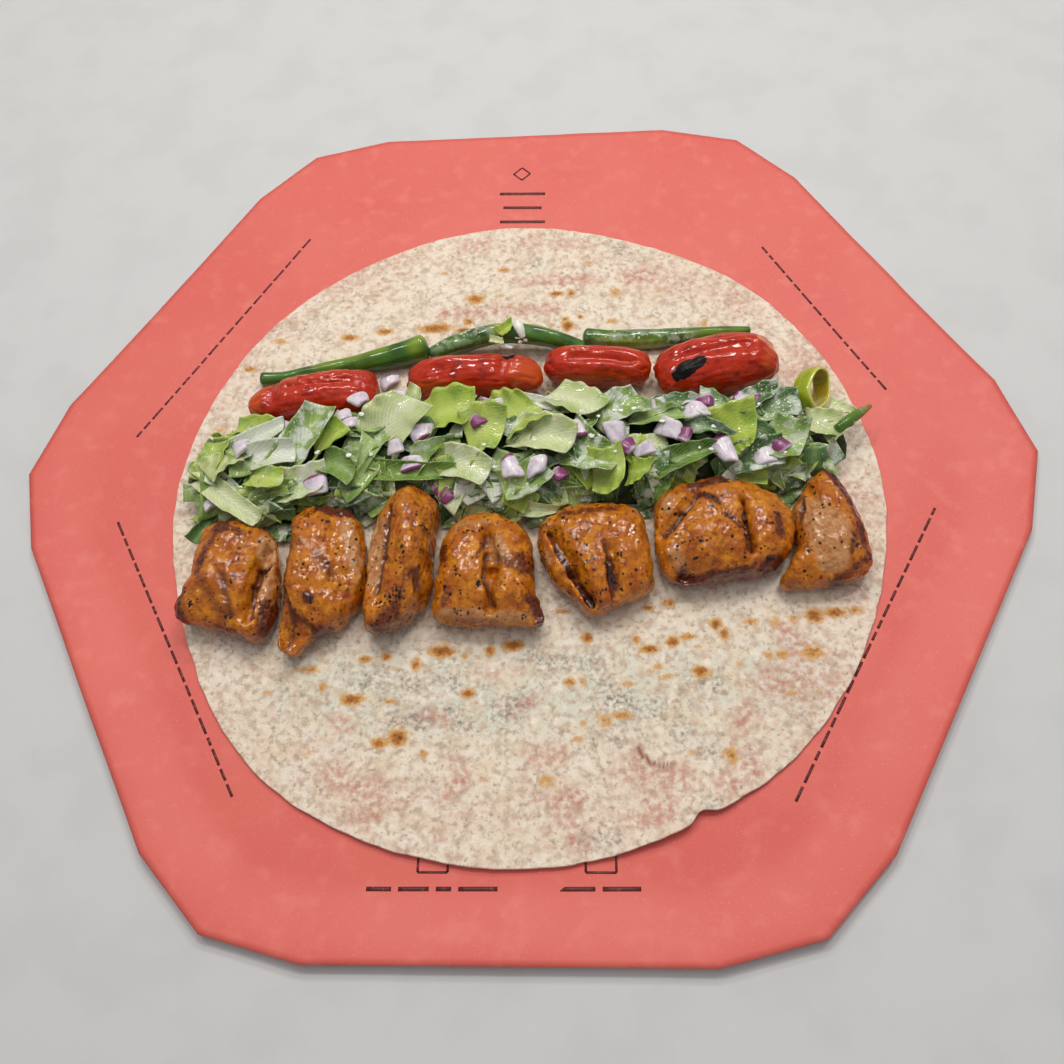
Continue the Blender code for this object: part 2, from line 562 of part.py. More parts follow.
def leaf_faces():
    """Triangles of the slab: both faces split alike, and a strip round the edge."""
    rows, columns = LEAF_STEPS[0] + 1, LEAF_STEPS[1] + 1
    count = rows * columns
    faces = []
    for i in range(rows - 1):
        for j in range(columns - 1):
            a, b = i * columns + j, (i + 1) * columns + j
            faces += [(a, a + 1, b), (a + 1, b + 1, b)]
            faces += [(count + a, count + b, count + a + 1), (count + a + 1, count + b, count + b + 1)]
    rim = [j for j in range(columns)]
    rim += [i * columns + columns - 1 for i in range(1, rows)]
    rim += [(rows - 1) * columns + j for j in range(columns - 2, -1, -1)]
    rim += [i * columns for i in range(rows - 2, 0, -1)]
    for a, b in zip(rim, rim[1:] + rim[:1]):
        faces += [(a, count + a, b), (b, count + a, count + b)]
    return faces


def dice_shell(dice, bumps):
    """A cut square of onion, a little curved, with its corners off square."""
    x, y, length, width, thick, turn = dice
    corners = np.array([(-1, -0.9), (0.85, -1), (1, 0.9), (-0.9, 1)]) * (length / 2, width / 2)
    shell = np.vstack([np.column_stack([corners, np.full(4, side * thick / 2)]) for side in (-1, 1)])
    shell = turned(shell, turn, 0.4 * turn - 12, 10 - 0.3 * turn)
    top = heap_top(np.array([x]), np.array([y]), bumps)[0]
    return shell + (x, y, top + thick / 2 - DICE_SINK + 1.2)


DICE_FACES = [(0, 3, 2, 1), (4, 5, 6, 7), (0, 1, 5, 4), (1, 2, 6, 5), (2, 3, 7, 6), (3, 0, 4, 7)]


def neighbours():
    """Outlines that the salad's loose pieces keep clear of, grown by a small margin."""
    grown = []
    for corners, _, _ in CHICKEN:
        grown.append(smooth_closed(corners, CHICKEN_SIDES))
    for x, y, length, width, turn, taper, _, _ in TOMATOES:
        grown.append(superellipse((x, y), (length, width), turn, TOMATO_SQUARENESS, TOMATO_SIDES, taper))
    grown.append(superellipse(RING_CENTRE[:2], (9.0, 10.5), 0.0, 2.0, 16))
    chilli = np.array(CHILLI, float)[:, :2]
    grown.append(np.vstack([chilli + (-2.5, 2.5), (chilli + (2.5, -2.5))[::-1]]))
    return [outline.mean(axis=0) + 1.03 * (outline - outline.mean(axis=0)) for outline in grown]


def inside(points, outline):
    """Which points lie inside a closed outline, by counting the edges that a line to the right crosses."""
    x, y = points[:, 0:1], points[:, 1:2]
    ax, ay = outline[:, 0], outline[:, 1]
    bx, by = np.roll(ax, -1), np.roll(ay, -1)
    spans = (ay > y) != (by > y)
    rise = np.where(np.abs(by - ay) < 1e-9, 1e-9, by - ay)
    return (np.sum(spans & (x < ax + (y - ay) * (bx - ax) / rise), axis=1) % 2) == 1


def clear(shell, outlines):
    """Whether a thin shell stays out of every outline and above the bread."""
    return shell[:, 2].min() > TABLE + 1.0 and not any(inside(shell, outline).any() for outline in outlines)


def build_salad(material):
    """The heap: its core joined with the leaves and onion that show."""
    bumps = heap_bumps()
    core = heap_core(material, bumps)
    outlines = neighbours()
    toppings = bpy.data.collections.new("salad_toppings")
    bpy.context.scene.collection.children.link(toppings)
    shells = []
    for number, leaf in enumerate(LEAVES):
        sizes = (leaf_shell(leaf, scale, number, bumps) for scale in LEAF_SIZES)
        fitting = next((shell for shell in sizes if clear(shell, outlines)), None)
        if fitting is not None:
            shells.append((fitting, leaf_faces()))
    for dice in DICE:
        shell = dice_shell(dice, bumps)
        if clear(shell, outlines):
            shells.append((shell, DICE_FACES))
    for number, (points, faces) in enumerate(shells):
        piece = add_piece(f"topping_{number}", points, faces, material, smooth=False)
        bpy.context.scene.collection.objects.unlink(piece)
        toppings.objects.link(piece)
    join_all(core, toppings)
    return core


def join_all(core, toppings):
    """One Boolean union of a collection with the core, applied; the collection's objects are removed."""
    union = core.modifiers.new("union", "BOOLEAN")
    union.operation = "UNION"
    union.operand_type = "COLLECTION"
    union.collection = toppings
    union.solver = "MANIFOLD"
    bpy.context.view_layer.update()
    graph = bpy.context.evaluated_depsgraph_get()
    joined = bpy.data.meshes.new_from_object(core.evaluated_get(graph))
    core.modifiers.clear()
    core.data = joined
    keep_largest(joined)
    for piece in list(toppings.objects):
        bpy.data.objects.remove(piece)
    bpy.data.collections.remove(toppings)


def keep_largest(mesh):
    """Only the mesh's largest connected piece stays, so that hollows are filled and scraps dropped."""
    shell = bmesh.new()
    shell.from_mesh(mesh)
    waiting = set(shell.verts)
    groups = []
    while waiting:
        group, edge = set(), [next(iter(waiting))]
        while edge:
            vertex = edge.pop()
            if vertex in group:
                continue
            group.add(vertex)
            edge.extend(link.other_vert(vertex) for link in vertex.link_edges)
        groups.append(group)
        waiting -= group
    largest = max(groups, key=len)
    bmesh.ops.delete(shell, geom=[v for v in shell.verts if v not in largest], context="VERTS")
    limit = math.radians(FLAT_DEGREES)
    bmesh.ops.dissolve_limit(shell, angle_limit=limit, verts=shell.verts[:], edges=shell.edges[:])
    bmesh.ops.triangulate(shell, faces=shell.faces[:])
    shell.to_mesh(mesh)
    shell.free()


def main():
    for leftover in list(bpy.data.objects):
        bpy.data.objects.remove(leftover)
    build_paper(finish("coated_wrapping_paper", (0.72, 0.16, 0.12), 0.55))
    build_bread(finish("griddled_flatbread", (0.70, 0.60, 0.46), 0.85))
    build_chicken(finish("grilled_chicken", (0.38, 0.10, 0.02), 0.35))
    build_tomatoes(finish("grilled_tomato", (0.36, 0.03, 0.01), 0.25))
    build_peppers(finish("green_pepper", (0.10, 0.18, 0.03), 0.35))
    build_salad(finish("dressed_salad", (0.30, 0.42, 0.12), 0.45))
    build_ring(finish("pickled_pepper", (0.40, 0.42, 0.05), 0.30))
    build_chilli(finish("green_chilli", (0.08, 0.20, 0.02), 0.35))


main()
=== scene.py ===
"""Looks of an open flatbread wrap on its sheet of wrapping paper.

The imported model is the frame. Each class below builds one part of the food over its solid, from the same
outlines and heights as the solid, as a fine mesh with the relief, colours and finish of the real thing.
Lengths are in millimetres and angles in degrees. +X is the diner's right, +Y is away from the diner.
"""

import itertools
import logging
import math
from dataclasses import dataclass, field
from enum import Enum
from typing import Any, Iterable, Sequence

import bpy
import numpy as np
from mathutils import Matrix, Vector


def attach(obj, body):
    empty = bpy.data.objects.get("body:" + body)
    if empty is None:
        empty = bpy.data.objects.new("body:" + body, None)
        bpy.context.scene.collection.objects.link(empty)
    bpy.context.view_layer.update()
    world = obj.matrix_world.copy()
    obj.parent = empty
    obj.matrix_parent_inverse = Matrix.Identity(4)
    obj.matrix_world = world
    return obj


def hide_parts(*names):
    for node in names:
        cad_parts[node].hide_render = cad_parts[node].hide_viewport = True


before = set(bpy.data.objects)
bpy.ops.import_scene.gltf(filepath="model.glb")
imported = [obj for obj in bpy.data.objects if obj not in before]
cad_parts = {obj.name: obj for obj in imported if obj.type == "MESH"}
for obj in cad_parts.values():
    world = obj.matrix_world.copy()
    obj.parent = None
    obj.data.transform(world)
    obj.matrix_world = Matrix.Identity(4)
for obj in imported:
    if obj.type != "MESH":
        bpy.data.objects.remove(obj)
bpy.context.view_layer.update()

MM = 0.001
TABLE = 3.0  # height of the bread's top and the gap under the food

Array = np.ndarray
Object, Tree, Node = bpy.types.Object, bpy.types.NodeTree, bpy.types.Node
Triple = tuple[float, float, float]
Stroke = tuple[float, float, float, float, float, float]  # x0, y0, x1, y1, half-width, rise or strength
log = logging.getLogger("wrap")


# Shapes as arrays


def smoothstep(value: Array) -> Array:
    """0 below 0, 1 above 1, and an even rise between."""
    clipped = np.clip(value, 0.0, 1.0)
    return clipped * clipped * (3.0 - 2.0 * clipped)


def noise(points: Array, size: float, seed: int) -> Array:
    """Smooth noise: random numbers at the corners of cubes of the given size, blended by smoothsteps.

    Args:
        points: Places, with the coordinates in the last axis.
        size: Side of the cubes.
        seed: Number that picks one noise of many.

    Returns:
        Values from -1 to 1.
    """
    cell = points / size
    low = np.floor(cell).astype(np.int64)
    blend = smoothstep(cell - low)
    total = np.zeros(points.shape[:-1])
    for corner in itertools.product((0, 1), repeat=points.shape[-1]):
        weight = np.prod(np.where(corner, blend, 1.0 - blend), axis=-1)
        key = np.full(total.shape, seed * 7919, np.int64)
        for axis, prime in zip(range(points.shape[-1]), (73856093, 19349663, 83492791)):
            key ^= (low[..., axis] + corner[axis]) * prime
        key = (key ^ (key >> 13)) * 1274126177
        key ^= key >> 16
        total += weight * ((key & 0xFFFF) / 32767.5 - 1.0)
    return total


def rough_noise(points: Array, size: float, octaves: int, seed: int) -> Array:
    """Noise with finer layers on it: each layer is half as wide and half as strong as the one before."""
    layers = (0.5**k * noise(points, size * 0.5**k, seed + 31 * k) for k in range(octaves))
    return np.sum(list(layers), axis=0)


def stroke_rise(x: Array, y: Array, strokes: Iterable[Stroke]) -> Array:
    """Sum over the strokes of a bell across the segment that each follows.

    Args:
        x: Places along X.
        y: Places along Y.
        strokes: Segments with half-width and rise.

    Returns:
        The height, or strength, added at each place.
    """
    rise = np.zeros(np.shape(x))
    for x0, y0, x1, y1, width, height in strokes:
        along = np.array([x1 - x0, y1 - y0], float)
        share = np.clip(
            ((x - x0) * along[0] + (y - y0) * along[1]) / max(float(along @ along), 1e-9), 0.0, 1.0
        )
        away = np.hypot(x - x0 - share * along[0], y - y0 - share * along[1])
        rise += height * np.exp(-((away / width) ** 2))
    return rise


def stroke_share(x: Array, y: Array, strokes: Iterable[Stroke], most: float = 1.0) -> Array:
    """Strength of the strokes at each place, from 0 to most."""
    return np.clip(stroke_rise(x, y, strokes), 0.0, most)


def signed_power(wave: Array, power: float) -> Array:
    """The size of the wave raised to a power, with its sign kept."""
    return np.sign(wave) * np.abs(wave) ** power


def lifted(angles: Array, lifts: Iterable[Triple], foot: float = 0.1) -> Array:
    """Lift of an edge in each direction: a sum of bells (direction, half-width, rise), flat at their feet."""
    total = np.zeros(np.shape(angles))
    for direction, width, rise in lifts:
        off = (angles - direction + 180.0) % 360.0 - 180.0
        total += rise * np.exp(-((off / width) ** 2))
    return np.where(total < foot, 0.0, total)


def along_curve(curve: Array, count: int, closed: bool) -> Array:
    """The curve's points read at equal steps of its length."""
    line = np.vstack([curve, curve[:1]]) if closed else curve
    run = np.concatenate([[0.0], np.cumsum(np.linalg.norm(np.diff(line[:, :3], axis=0), axis=1))])
    at = np.linspace(0.0, run[-1], count, endpoint=not closed)
    return np.column_stack([np.interp(at, run, line[:, axis]) for axis in range(line.shape[1])])


def smooth_line(points: Sequence[Sequence[float]], count: int, closed: bool = False) -> Array:
    """A Catmull-Rom curve through the points: each stretch is the cubic that passes through its two ends with
    the slopes of the chords beside them.

    Args:
        points: Knots of the curve; columns past the third, such as a radius, are carried along.
        count: Number of points to return.
        closed: Whether the last knot joins the first.

    Returns:
        Points at equal steps of the curve's length.
    """
    knots = np.asarray(points, float)
    if closed:
        padded = np.vstack([knots[-1:], knots, knots[:2]])
    else:
        padded = np.vstack([2 * knots[0] - knots[1], knots, 2 * knots[-1] - knots[-2]])
    before, here, after, beyond = (padded[k : len(padded) - 3 + k][:, None, :] for k in range(4))
    t = np.linspace(0.0, 1.0, 24, endpoint=False)[None, :, None]
    curve = 0.5 * (
        2 * here
        + (after - before) * t
        + (2 * before - 5 * here + 4 * after - beyond) * t**2
        + (3 * here - before - 3 * after + beyond) * t**3
    ).reshape(-1, knots.shape[1])
    return along_curve(curve if closed else np.vstack([curve, knots[-1:]]), count, closed)


def counter_clockwise(outline: Array) -> Array:
    """The outline, turned round if it runs clockwise: its signed area is the sum of x times the step in y."""
    area = float(np.sum(outline[:, 0] * (np.roll(outline[:, 1], -1) - np.roll(outline[:, 1], 1))))
    return outline if area > 0 else outline[::-1]


def oval(
    centre: tuple[float, float], half: tuple[float, float], turn: float, square: float, count: int,
    taper: float
) -> Array:
    """Points round an oval, fuller than an ellipse: cosine and sine to the power 2 / square."""
    angles = np.linspace(0.0, 2.0 * math.pi, count, endpoint=False)
    across, along = (
        size * signed_power(wave, 2.0 / square)
        for size, wave in zip(half, (np.cos(angles), np.sin(angles)))
    )
    along *= 1.0 + taper * across / half[0]
    c, s = math.cos(math.radians(turn)), math.sin(math.radians(turn))
    return np.column_stack([centre[0] + c * across - s * along, centre[1] + s * across + c * along])


def inside(points: Array, outline: Array) -> Array:
    """Which points lie inside a closed outline, by counting the edges that a line to the right crosses."""
    x, y = points[:, 0:1], points[:, 1:2]
    ax, ay = outline[:, 0], outline[:, 1]
    bx, by = np.roll(ax, -1), np.roll(ay, -1)
    spans = (ay > y) != (by > y)
    rise = np.where(np.abs(by - ay) < 1e-9, 1e-9, by - ay)
    return (np.sum(spans & (x < ax + (y - ay) * (bx - ax) / rise), axis=1) % 2) == 1


def turned(points: Array, turn: float, pitch: float, roll: float) -> Array:
    """Points rolled about X, pitched about Y and turned about Z."""
    a, b, c = (math.radians(v) for v in (roll, pitch, turn))
    about_x = np.array([[1, 0, 0], [0, math.cos(a), -math.sin(a)], [0, math.sin(a), math.cos(a)]])
    about_y = np.array([[math.cos(b), 0, math.sin(b)], [0, 1, 0], [-math.sin(b), 0, math.cos(b)]])
    about_z = np.array([[math.cos(c), -math.sin(c), 0], [math.sin(c), math.cos(c), 0], [0, 0, 1]])
    return points @ (about_z @ about_y @ about_x).T


def grid_normals(grid: Array) -> Array:
    """Unit normals of rings of points: the step round the ring crossed with the step to the next ring."""
    around = np.roll(grid, -1, axis=1) - np.roll(grid, 1, axis=1)
    normals = np.cross(around, np.gradient(grid, axis=0))
    return normals / np.maximum(np.linalg.norm(normals, axis=-1, keepdims=True), 1e-9)


@dataclass
class Surface:
    """A closed surface: points, faces, and a number at each point under each name."""

    points: Array
    quads: Array
    triangles: Array
    values: dict[str, Array] = field(default_factory=dict)

    def outward(self) -> "Surface":
        """The surface with its faces turned outwards, by the sign of the volume they enclose."""
        halves = [self.triangles, self.quads[:, :3], self.quads[:, [0, 2, 3]]]
        a, b, c = (self.points[np.vstack(halves)[:, k]] for k in range(3))
        if float(np.einsum("ij,ij->", a, np.cross(b, c))) < 0:
            self.quads, self.triangles = self.quads[:, ::-1], self.triangles[:, ::-1]
        return self


def ring_surface(grid: Array, low: Array, high: Array, values: dict[str, Array] | None = None) -> Surface:
    """A closed surface of rings of points and a pole at each end.

    Args:
        grid: Rings by sides by 3.
        low: Pole before the first ring.
        high: Pole after the last ring.
        values: Numbers on the grid; each pole takes the mean of its ring.

    Returns:
        The surface, facing outwards.
    """
    rings, sides = grid.shape[:2]
    index = np.arange(rings * sides).reshape(rings, sides)
    beside = np.roll(index, -1, axis=1)
    quads = np.stack([index[:-1], beside[:-1], beside[1:], index[1:]], axis=-1).reshape(-1, 4)
    poles = rings * sides + np.arange(2)
    fans = [
        np.column_stack([np.full(sides, poles[0]), beside[0], index[0]]),
        np.column_stack([np.full(sides, poles[1]), index[-1], beside[-1]]),
    ]
    packed = {
        name: np.concatenate([value.ravel(), [value[0].mean(), value[-1].mean()]])
        for name, value in (values or {}).items()
    }
    return Surface(np.vstack([grid.reshape(-1, 3), low, high]), quads, np.vstack(fans), packed).outward()


def capped(grid: Array, values: dict[str, Array] | None = None) -> Surface:
    """A closed surface of rings whose poles are the middles of the end rings."""
    return ring_surface(grid, grid[0].mean(axis=0), grid[-1].mean(axis=0), values)


def slab_surface(top: Array, bottom: Array, values: dict[str, Array]) -> Surface:
    """A thin closed slab between two sheets of points, joined round their edge.

    Args:
        top: Rows by columns by 3.
        bottom: The same for the lower sheet.
        values: Numbers on the sheet, the same above and below, with "upper" added as 1 above and 0 below.

    Returns:
        The surface, facing outwards.
    """
    rows, columns = top.shape[:2]
    index = np.arange(rows * columns).reshape(rows, columns)
    face = np.stack([index[:-1, :-1], index[1:, :-1], index[1:, 1:], index[:-1, 1:]], axis=-1).reshape(-1, 4)
    count = rows * columns
    edge = np.concatenate([index[0, :-1], index[:-1, -1], index[-1, :0:-1], index[:0:-1, 0]])
    after = np.roll(edge, -1)
    rim = np.column_stack([edge, after, after + count, edge + count])
    quads = np.vstack([face, face[:, ::-1] + count, rim])
    packed = {name: np.tile(value.ravel(), 2) for name, value in values.items()}
    packed["upper"] = np.repeat([1.0, 0.0], count)
    points = np.vstack([top.reshape(-1, 3), bottom.reshape(-1, 3)])
    return Surface(points, quads, np.zeros((0, 3), int), packed).outward()


def merged(surfaces: Sequence[Surface]) -> Surface:
    """Several surfaces as one, each with its own points."""
    starts = np.cumsum([0] + [len(s.points) for s in surfaces[:-1]])
    names = surfaces[0].values
    return Surface(
        np.vstack([s.points for s in surfaces]),
        np.vstack([s.quads + k for s, k in zip(surfaces, starts)]),
        np.vstack([s.triangles + k for s, k in zip(surfaces, starts)]),
        {name: np.concatenate([s.values[name] for s in surfaces]) for name in names},
    )


def make_piece(
    name: str, surface: Surface, material: bpy.types.Material, replaced: Sequence[str] = ()
) -> Object:
    """One object of the finished model.

    Args:
        name: Name of the object and its mesh.
        surface: Its shape in millimetres, with its named values.
        material: Its finish.
        replaced: Solids that it stands for.

    Returns:
        The object, riding on the body.
    """
    mesh = bpy.data.meshes.new(name)
    mesh.vertices.add(len(surface.points))
    mesh.vertices.foreach_set("co", (surface.points * MM).astype(np.float32).ravel())
    corners = np.concatenate([surface.quads.ravel(), surface.triangles.ravel()]).astype(np.int32)
    mesh.loops.add(len(corners))
    mesh.loops.foreach_set("vertex_index", corners)
    quads, triangles = len(surface.quads), len(surface.triangles)
    starts = np.concatenate([4 * np.arange(quads), 4 * quads + 3 * np.arange(triangles)]).astype(np.int32)
    mesh.polygons.add(len(starts))
    mesh.polygons.foreach_set("loop_start", starts)
    mesh.update(calc_edges=True)
    mesh.validate()
    mesh.shade_smooth()
    for label, value in surface.values.items():
        store = mesh.attributes.new(label, "FLOAT", "POINT")
        store.data.foreach_set("value", np.asarray(value, np.float32))
    mesh.materials.append(material)
    piece = bpy.data.objects.new(name, mesh)
    bpy.context.scene.collection.objects.link(piece)
    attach(piece, "root")
    if replaced:
        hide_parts(*replaced)
    log.info("%s: %d faces", name, len(mesh.polygons))
    return piece


# Finishes


def linear(colour: str) -> tuple[float, float, float, float]:
    """Linear red, green, blue and alpha of an sRGB hex value, by undoing the sRGB curve."""
    parts = [int(colour[k : k + 2], 16) / 255 for k in (0, 2, 4)]
    return (*(c / 12.92 if c <= 0.04045 else ((c + 0.055) / 1.055) ** 2.4 for c in parts), 1.0)


def add_node(tree: Tree, kind: str, inputs: dict[str | int, Any], **settings: Any) -> Node:
    """A node with its settings and links.

    Args:
        tree: Where it goes.
        kind: Blender's name for the node.
        inputs: Value by input name or number: a node or socket to link, an sRGB hex text or a number.
        settings: Properties of the node.

    Returns:
        The node.
    """
    made = tree.nodes.new(kind)
    for name, value in settings.items():
        setattr(made, name, value)
    for key, value in inputs.items():
        by_name = (s for s in made.inputs if s.enabled and s.name == key)
        socket = made.inputs[key] if isinstance(key, int) else next(by_name)
        if isinstance(value, Node):
            value = next(s for s in value.outputs if s.enabled)
        if isinstance(value, bpy.types.NodeSocket):
            tree.links.new(value, socket)
        else:
            socket.default_value = linear(value) if isinstance(value, str) else value
    return made


def noise_inputs(place: Any, size: float, detail: float) -> dict[str | int, Any]:
    """Inputs of a noise with cells of size millimetres."""
    return {"Vector": place, "Scale": 1.0 / (size * MM), "Detail": detail}


def blotches(tree: Tree, place: Any, size: float, low: float, high: float, detail: float = 2.0) -> Node:
    """Mask of soft patches: noise with cells of size millimetres, 0 under low and 1 over high."""
    pattern = add_node(tree, "ShaderNodeTexNoise", noise_inputs(place, size, detail))
    limits = {"Value": pattern, "From Min": low, "From Max": high}
    return add_node(tree, "ShaderNodeMapRange", limits, interpolation_type="SMOOTHSTEP")


def ragged(tree: Tree, place: Any, name: str, size: float, swing: float, low: float, high: float) -> Node:
    """Mask of a named value with a ragged edge: value + swing x (noise - 1/2), 0 at low and 1 at high."""
    pattern = add_node(tree, "ShaderNodeTexNoise", noise_inputs(place, size, 3.0))
    value = add_node(tree, "ShaderNodeAttribute", {}, attribute_name=name)
    moved = add_node(
        tree, "ShaderNodeMath", {0: pattern, 1: swing, 2: value.outputs["Fac"]}, operation="MULTIPLY_ADD"
    )
    limits = {"Value": moved, "From Min": low + swing / 2, "From Max": high + swing / 2}
    return add_node(tree, "ShaderNodeMapRange", limits, interpolation_type="SMOOTHSTEP")


def specks(tree: Tree, place: Any, spacing: float, radius: float, share: float) -> Node:
    """Mask of round specks: of cells spacing millimetres wide, a share holds a speck of about that radius."""
    spots = add_node(tree, "ShaderNodeTexVoronoi", {"Vector": place, "Scale": 1.0 / (spacing * MM)})
    chosen = add_node(tree, "ShaderNodeSeparateColor", {"Color": spots.outputs["Color"]})
    reach = add_node(
        tree, "ShaderNodeMapRange", {"Value": chosen.outputs["Red"], "From Min": 1.0 - share, "From Max": 1.0}
    )
    size = add_node(tree, "ShaderNodeMath", {0: reach, 1: 1.6 * radius / spacing}, operation="MULTIPLY")
    depth = add_node(tree, "ShaderNodeMath", {0: size, 1: spots.outputs["Distance"]}, operation="SUBTRACT")
    return add_node(tree, "ShaderNodeMapRange", {"Value": depth, "From Max": 0.25 * radius / spacing})


def both(tree: Tree, one: Any, other: Any) -> Node:
    """Mask that shows only where both masks do: their product."""
    return add_node(tree, "ShaderNodeMath", {0: one, 1: other}, operation="MULTIPLY")


def layered(tree: Tree, base: Any, layers: Iterable[tuple[Any, str]]) -> Any:
    """Colours laid over a base in order: each layer is a mask and the colour that it shows."""
    colour = base
    for mask, over in layers:
        colour = add_node(tree, "ShaderNodeMix", {"Factor": mask, "A": colour, "B": over}, data_type="RGBA")
    return colour


def value_of(tree: Tree, name: str) -> Any:
    """Socket of the mesh's value under a name."""
    return add_node(tree, "ShaderNodeAttribute", {}, attribute_name=name).outputs["Fac"]


@dataclass(frozen=True)
class Finish:
    """One real material. Subclasses paint it; the sizes here are what its shader keeps the same all over."""

    name: str
    rough: float
    index: float = 1.45
    coat: float = 0.0
    coat_rough: float = 0.1
    soft: float = 0.0  # share of light that scatters inside
    soft_reach: float = 1.0  # millimetres that it scatters
    soft_colour: Triple = (1.0, 0.5, 0.25)
    sheen: float = 0.0
    coat_bump: float = 0.12  # share of the relief that shows in the coat
    base: str = "C8C8C8"  # colour under what is painted on it

    def material(self) -> bpy.types.Material:
        """The Blender material, with its fixed values set and its pattern painted."""
        made = bpy.data.materials.new(self.name)
        made.use_nodes = True
        tree = made.node_tree
        shader = tree.nodes["Principled BSDF"]
        fixed = {
            "Roughness": self.rough, "IOR": self.index, "Sheen Weight": self.sheen,
            "Coat Weight": self.coat, "Coat Roughness": self.coat_rough,
            "Subsurface Weight": self.soft, "Subsurface Scale": self.soft_reach * MM,
            "Subsurface Radius": self.soft_colour,
        }
        for name, value in fixed.items():
            shader.inputs[name].default_value = value
        place = add_node(tree, "ShaderNodeTexCoord", {}).outputs["Object"]
        self.paint(tree, place, shader)
        return made

    def paint(self, tree: Tree, place: Any, shader: Node) -> None:
        """Adds the pattern's nodes and links them to the shader."""
        raise NotImplementedError

    def colour(self, tree: Tree, shader: Node, layers: Iterable[tuple[Any, str]]) -> None:
        """Links the layers, laid over the base colour, to the shader."""
        tree.links.new(layered(tree, self.base, layers).outputs[2], shader.inputs["Base Color"])

    def emboss(self, tree: Tree, shader: Node, height: Any, depth: float) -> None:
        """Links a bump that is depth millimetres high, and a flatter one for the coat."""
        for share, socket in ((1.0, "Normal"), (self.coat_bump, "Coat Normal")):
            bump = add_node(tree, "ShaderNodeBump", {"Height": height, "Distance": share * depth * MM})
            tree.links.new(bump.outputs["Normal"], shader.inputs[socket])


@dataclass(frozen=True)
class CoatedPaper(Finish):
    """Bleached kraft paper, flexo printed coral red and machine glazed: even, with faint clouds of ink."""

    base: str = "DD695E"

    def paint(self, tree: Tree, place: Any, shader: Node) -> None:
        """Ink clouds 60 and 9 mm wide, paper fibres 0.5 mm wide."""
        layers = [
            (blotches(tree, place, 60.0, 0.35, 0.7), "DA635A"),
            (blotches(tree, place, 9.0, 0.5, 0.8), "E17367"),
            (blotches(tree, place, 0.8, 0.6, 0.75), "E4796D"),
        ]
        self.colour(tree, shader, layers)
        fibre = add_node(tree, "ShaderNodeTexNoise", noise_inputs(place, 0.5, 2.0))
        self.emboss(tree, shader, fibre, 0.02)


@dataclass(frozen=True)
class PrintingInk(Finish):
    """Water-based ink on the paper: dark brown, a little worn through."""

    base: str = "5E2A2A"

    def paint(self, tree: Tree, place: Any, shader: Node) -> None:
        """Worn places about 1 mm wide, where the paper's red shows."""
        worn = layered(tree, self.base, [(blotches(tree, place, 1.0, 0.52, 0.75), "9C4A45")])
        tree.links.new(worn.outputs[2], shader.inputs["Base Color"])


@dataclass(frozen=True)
class GriddledBread(Finish):
    """Thin wheat flatbread, rolled, floured and baked on a hot plate: matt, with toasted blister tops."""

    base: str = "EEDFCD"

    def paint(self, tree: Tree, place: Any, shader: Node) -> None:
        """Flour clouds, grey and pink speckle where the dough is thin, and toasted spots, pale to dark."""
        grey = both(
            tree, ragged(tree, place, "grey", 6.0, 1.5, 0.1, 1.3), blotches(tree, place, 1.6, 0.4, 0.72, 4.0)
        )
        pink = both(
            tree, ragged(tree, place, "pink", 7.0, 1.3, 0.1, 1.2), blotches(tree, place, 2.6, 0.3, 0.72, 4.0)
        )
        layers = [
            (value_of(tree, "cool"), "DCD8C6"),
            (blotches(tree, place, 9.0, 0.4, 0.75, 3.0), "E6D2B8"),
            (blotches(tree, place, 3.4, 0.42, 0.7, 4.0), "CDB6A0"),
            (blotches(tree, place, 1.8, 0.5, 0.74, 4.0), "B6A28E"),
            (blotches(tree, place, 4.4, 0.52, 0.72, 4.0), "EEE3D2"),
            (pink, "C48878"),
            (grey, "847F78"),
            (ragged(tree, place, "brown", 2.2, 1.0, 0.2, 0.7), "D2A063"),
            (ragged(tree, place, "brown", 1.5, 1.1, 0.55, 1.0), "A8692F"),
            (ragged(tree, place, "brown", 1.2, 1.0, 0.95, 1.3), "6E3E1A"),
            (value_of(tree, "crack"), "8A4A35"),
        ]
        self.colour(tree, shader, layers)
        crumb = add_node(tree, "ShaderNodeTexNoise", noise_inputs(place, 1.9, 5.0))
        self.emboss(tree, shader, crumb, 0.5)


